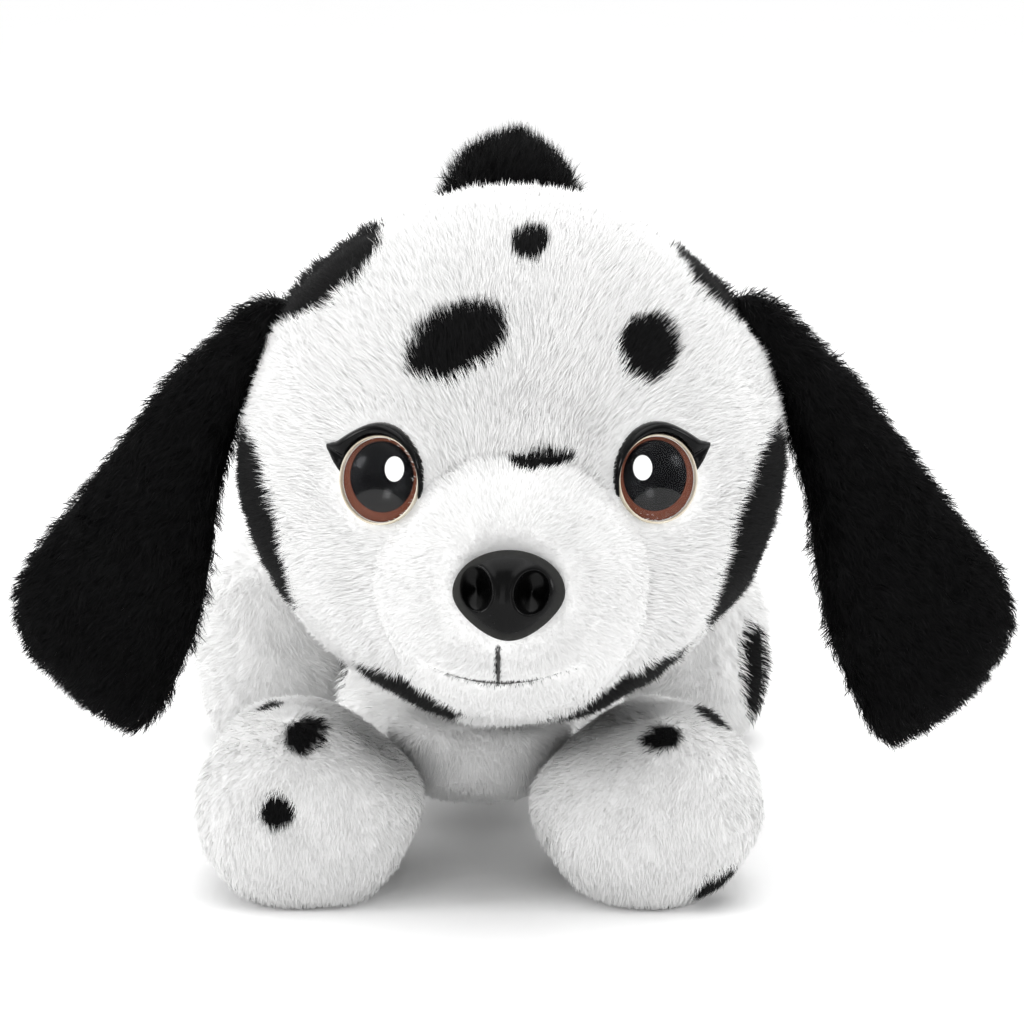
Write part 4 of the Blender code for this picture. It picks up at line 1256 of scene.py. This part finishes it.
LEG_SPOTS = {
    "front_left_leg": [
        ((-0.0490, -0.064, 0.037), (4.4 * MM, 8 * MM, 5.8 * MM), -45),
        ((-0.0535, -0.079, 0.025), (3.9 * MM, 8 * MM, 3.6 * MM), 20),
        ((-0.0570, -0.046, 0.041), (3 * MM, 7 * MM, 4 * MM), 0),
    ],
    "front_right_leg": [
        ((0.0350, -0.065, 0.0365), (5.2 * MM, 6 * MM, 4.4 * MM), 15),
        ((0.0460, -0.050, 0.038), (4.5 * MM, 7 * MM, 5 * MM), 0),
        ((0.0485, -0.074, 0.006), (7 * MM, 9 * MM, 4 * MM), 10),
    ],
    "hind_left_leg": [
        ((-0.0750, 0.066, 0.0565), (6 * MM, 7 * MM, 5 * MM), 0),
        ((-0.0660, 0.052, 0.0390), (4.5 * MM, 7 * MM, 5 * MM), 0),
    ],
    "hind_right_leg": [
        ((0.0660, 0.058, 0.0240), (5 * MM, 9 * MM, 16 * MM), 0),
    ],
}


def make_legs():
    """Four legs with flat soles."""
    for k, (name, spots) in enumerate(LEG_SPOTS.items()):
        front = name.startswith("front")
        box = joined_box(f"{name}_skin", f"{name}_stuffing")
        rows = fitted(FRONT_LEG_ROWS if front else HIND_LEG_ROWS, box, floor=0.0)
        middle_x = float((box[0][0] + box[1][0]) / 2)
        angles = np.linspace(0, 2 * math.pi, 110, endpoint=False)
        places = places_between(END_PLACE, len(rows) - 1 - END_PLACE, 70, "both")
        grid = loft(rows, middle_x, places, angles, floor=FLOOR)
        if front:
            outwards = math.copysign(1.0, middle_x - torso_x)
            upper = smooth_step(grid[..., 2], 0.50 * box[1][2], box[1][2])
            narrower = 1 - 0.12 * upper
            grid[..., 0] = middle_x + (grid[..., 0] - middle_x) * narrower + LEG_SLANT * outwards * upper
        proud = 0.3 if front else 1.2
        grid = grid + grid_normals(grid) * (proud + 0.5 * waves(grid, 24 * MM, 60 + k))[..., None] * MM
        skin = swollen(grid, 1.0 * MM)
        pile = FRONT_LEG_PILE if front else HIND_LEG_PILE
        lie = brushed(grid_normals(skin), (0, 0.12, -1.0) if front else (0, 0.5, -0.65))
        nodes = [f"{name}_skin"]
        plush(name, name, nodes, skin, lie, pile, spots, WHITE, "both", 50 + k, FLOOR)
        on_floor = np.maximum(skin, [-FAR, -FAR, FLOOR + 0.5 * MM])
        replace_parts(stuffing(name, name, on_floor, 60 + k), f"{name}_stuffing")


def make_tail():
    """The tail, a tuft of longer pile."""
    root = Vector(joint("tail_wag")["pos_m"])
    low, high = joined_box("tail_skin", "tail_stuffing")
    tip = Vector((0.002, 0.080, high[2] + 2.5 * MM))
    up = (tip - root).normalized()
    side = Vector((0, 1, 0)).cross(up).normalized()
    turn = np.array(Matrix((side, up, -up.cross(side))).transposed())
    angles = np.linspace(0, 2 * math.pi, 90, endpoint=False)
    rows = np.array(TAIL_ROWS) * [1.03, 1.1, 1.05, 1.0] * MM
    places = places_between(TAIL_ROOT_PLACE, len(rows) - 1 - END_PLACE, 60, "both")
    grid = loft(rows, 0.0, places, angles)
    skin = swollen(grid @ turn.T + np.array(root), 1.0 * MM)
    lie = brushed(grid_normals(skin), up)
    plush("tail", "tail", ["tail_skin"], skin, lie, TAIL_PILE, [], BLACK, "both", 70)
    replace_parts(stuffing("tail", "tail", skin, 71), "tail_stuffing")


EAR_REACH = {"left": 1.0, "right": 1.035}  # the ears aren't quite the same length


def ear_surface(side_name):
    """An ear's surface, laid along its slope out of its root seam, and the two ways it spreads."""
    hinge = joint(f"ear_{side_name}_swing")
    root, down = np.array(hinge["pos_m"]), np.array(hinge["axis"])
    outwards = np.array([-down[2] * SIDES[side_name], 0, abs(down[0])])
    rows = np.array(EAR_ROWS) * [EAR_REACH[side_name], 1, 1, 1] * MM
    places = places_between(END_PLACE, len(rows) - 1 - END_PLACE, 90, "both")
    along, wide, thick, shift = flowing(rows, places).T
    angles = np.linspace(0, 2 * math.pi, 100, endpoint=False)
    across = shift[:, None] + wide[:, None] * np.cos(angles)[None, :]
    through = thick[:, None] * np.sin(angles)[None, :]
    grid = root + along[:, None, None] * down + across[..., None] * outwards
    return grid - through[..., None] * np.array([0, 1, 0]), down, outwards


def make_ears():
    """Both ears, each a padded flap of black pile."""
    for k, side_name in enumerate(SIDES):
        grid, down, outwards = ear_surface(side_name)
        skin = swollen(grid, 0.8 * MM)
        lie = brushed(grid_normals(skin), down + 0.35 * outwards)
        name = f"ear_{side_name}"
        nodes = [f"{name}_front", f"{name}_back"]
        plush(name, name, nodes, skin, lie, EAR_PILE, [], BLACK, "both", 80 + k)
        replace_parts(stuffing(name, name, skin, 82 + k, 2.2 * MM), f"{name}_padding")


# ---------------------------------------------------------------- stage
# Soft boxes: place, size across and power.
LIGHTS = {
    "left": ((-1.00, -0.30, 0.50), 0.27, 3.2),
    "right": ((1.00, -0.30, 0.50), 0.27, 2.2),
    "front": ((-0.05, -1.10, 0.06), 0.60, 1.7),
    "top": ((0.0, -0.15, 1.30), 1.20, 7.2),
    "rim": ((0.25, 1.00, 0.70), 0.90, 3.0),
}
STUDIO_FRONT, STUDIO_BACK = 0.54, 1.5  # brightness of the studio behind the camera and behind the puppy


def make_stage():
    """A pale floor in an even white studio, with soft lights."""
    mesh = bpy.data.meshes.new("floor")
    reach = 8.0
    corners = [(-reach, -reach), (reach, -reach), (reach, reach), (-reach, reach)]
    mesh.from_pydata([(x, y, FLOOR) for x, y in corners], [], [(0, 1, 2, 3)])
    made, tree, shader = new_material("floor_paper")
    paper = mixed_colour(tree, noise(tree, 3.0), (0.95, 0.95, 0.95), (0.97, 0.97, 0.97))
    tree.links.new(paper, shader.inputs["Base Color"])
    shader.inputs["Roughness"].default_value = 0.9
    shader.inputs["Specular IOR Level"].default_value = 0.1
    add_object("floor", mesh, made)
    world = bpy.data.worlds.new("studio")
    bpy.context.scene.world = world
    world.use_nodes = True
    tree = world.node_tree
    facing_way = tree.nodes.new("ShaderNodeSeparateXYZ")
    tree.links.new(tree.nodes.new("ShaderNodeTexCoord").outputs["Generated"], facing_way.inputs["Vector"])
    glow = ranged(tree, facing_way.outputs["Y"], -0.5, 0.5, STUDIO_FRONT, STUDIO_BACK)
    tree.links.new(glow, tree.nodes["Background"].inputs["Strength"])
    tree.nodes["Background"].inputs["Color"].default_value = (1, 1, 1, 1)
    bpy.context.scene.view_settings.view_transform = "Standard"
    for name, (place, size, power) in LIGHTS.items():
        light = bpy.data.lights.new(name, "AREA")
        light.size = size
        light.energy = power
        lamp = bpy.data.objects.new(name, light)
        lamp.location = place
        aim = Vector((0, 0, 0.07)) - Vector(place)
        lamp.rotation_euler = aim.to_track_quat("-Z", "Y").to_euler()
        bpy.context.scene.collection.objects.link(lamp)


def make_camera():
    """The photograph's view: straight at the face, a little from above."""
    camera = bpy.data.cameras.new("camera")
    camera.sensor_width = 36
    camera.lens = 112
    holder = bpy.data.objects.new("camera", camera)
    target = Vector((0.0, -0.034, 0.085))
    height = math.radians(12)
    back = Vector((0, -math.cos(height), math.sin(height)))
    holder.location = target + back * 0.76
    holder.rotation_euler = (-back).to_track_quat("-Z", "Y").to_euler()
    bpy.context.scene.collection.objects.link(holder)
    bpy.context.scene.camera = holder


make_camera()
make_stage()
make_head()
make_eyes()
make_nose()
make_mouth()
make_neck()
make_torso()
make_legs()
make_tail()
make_ears()
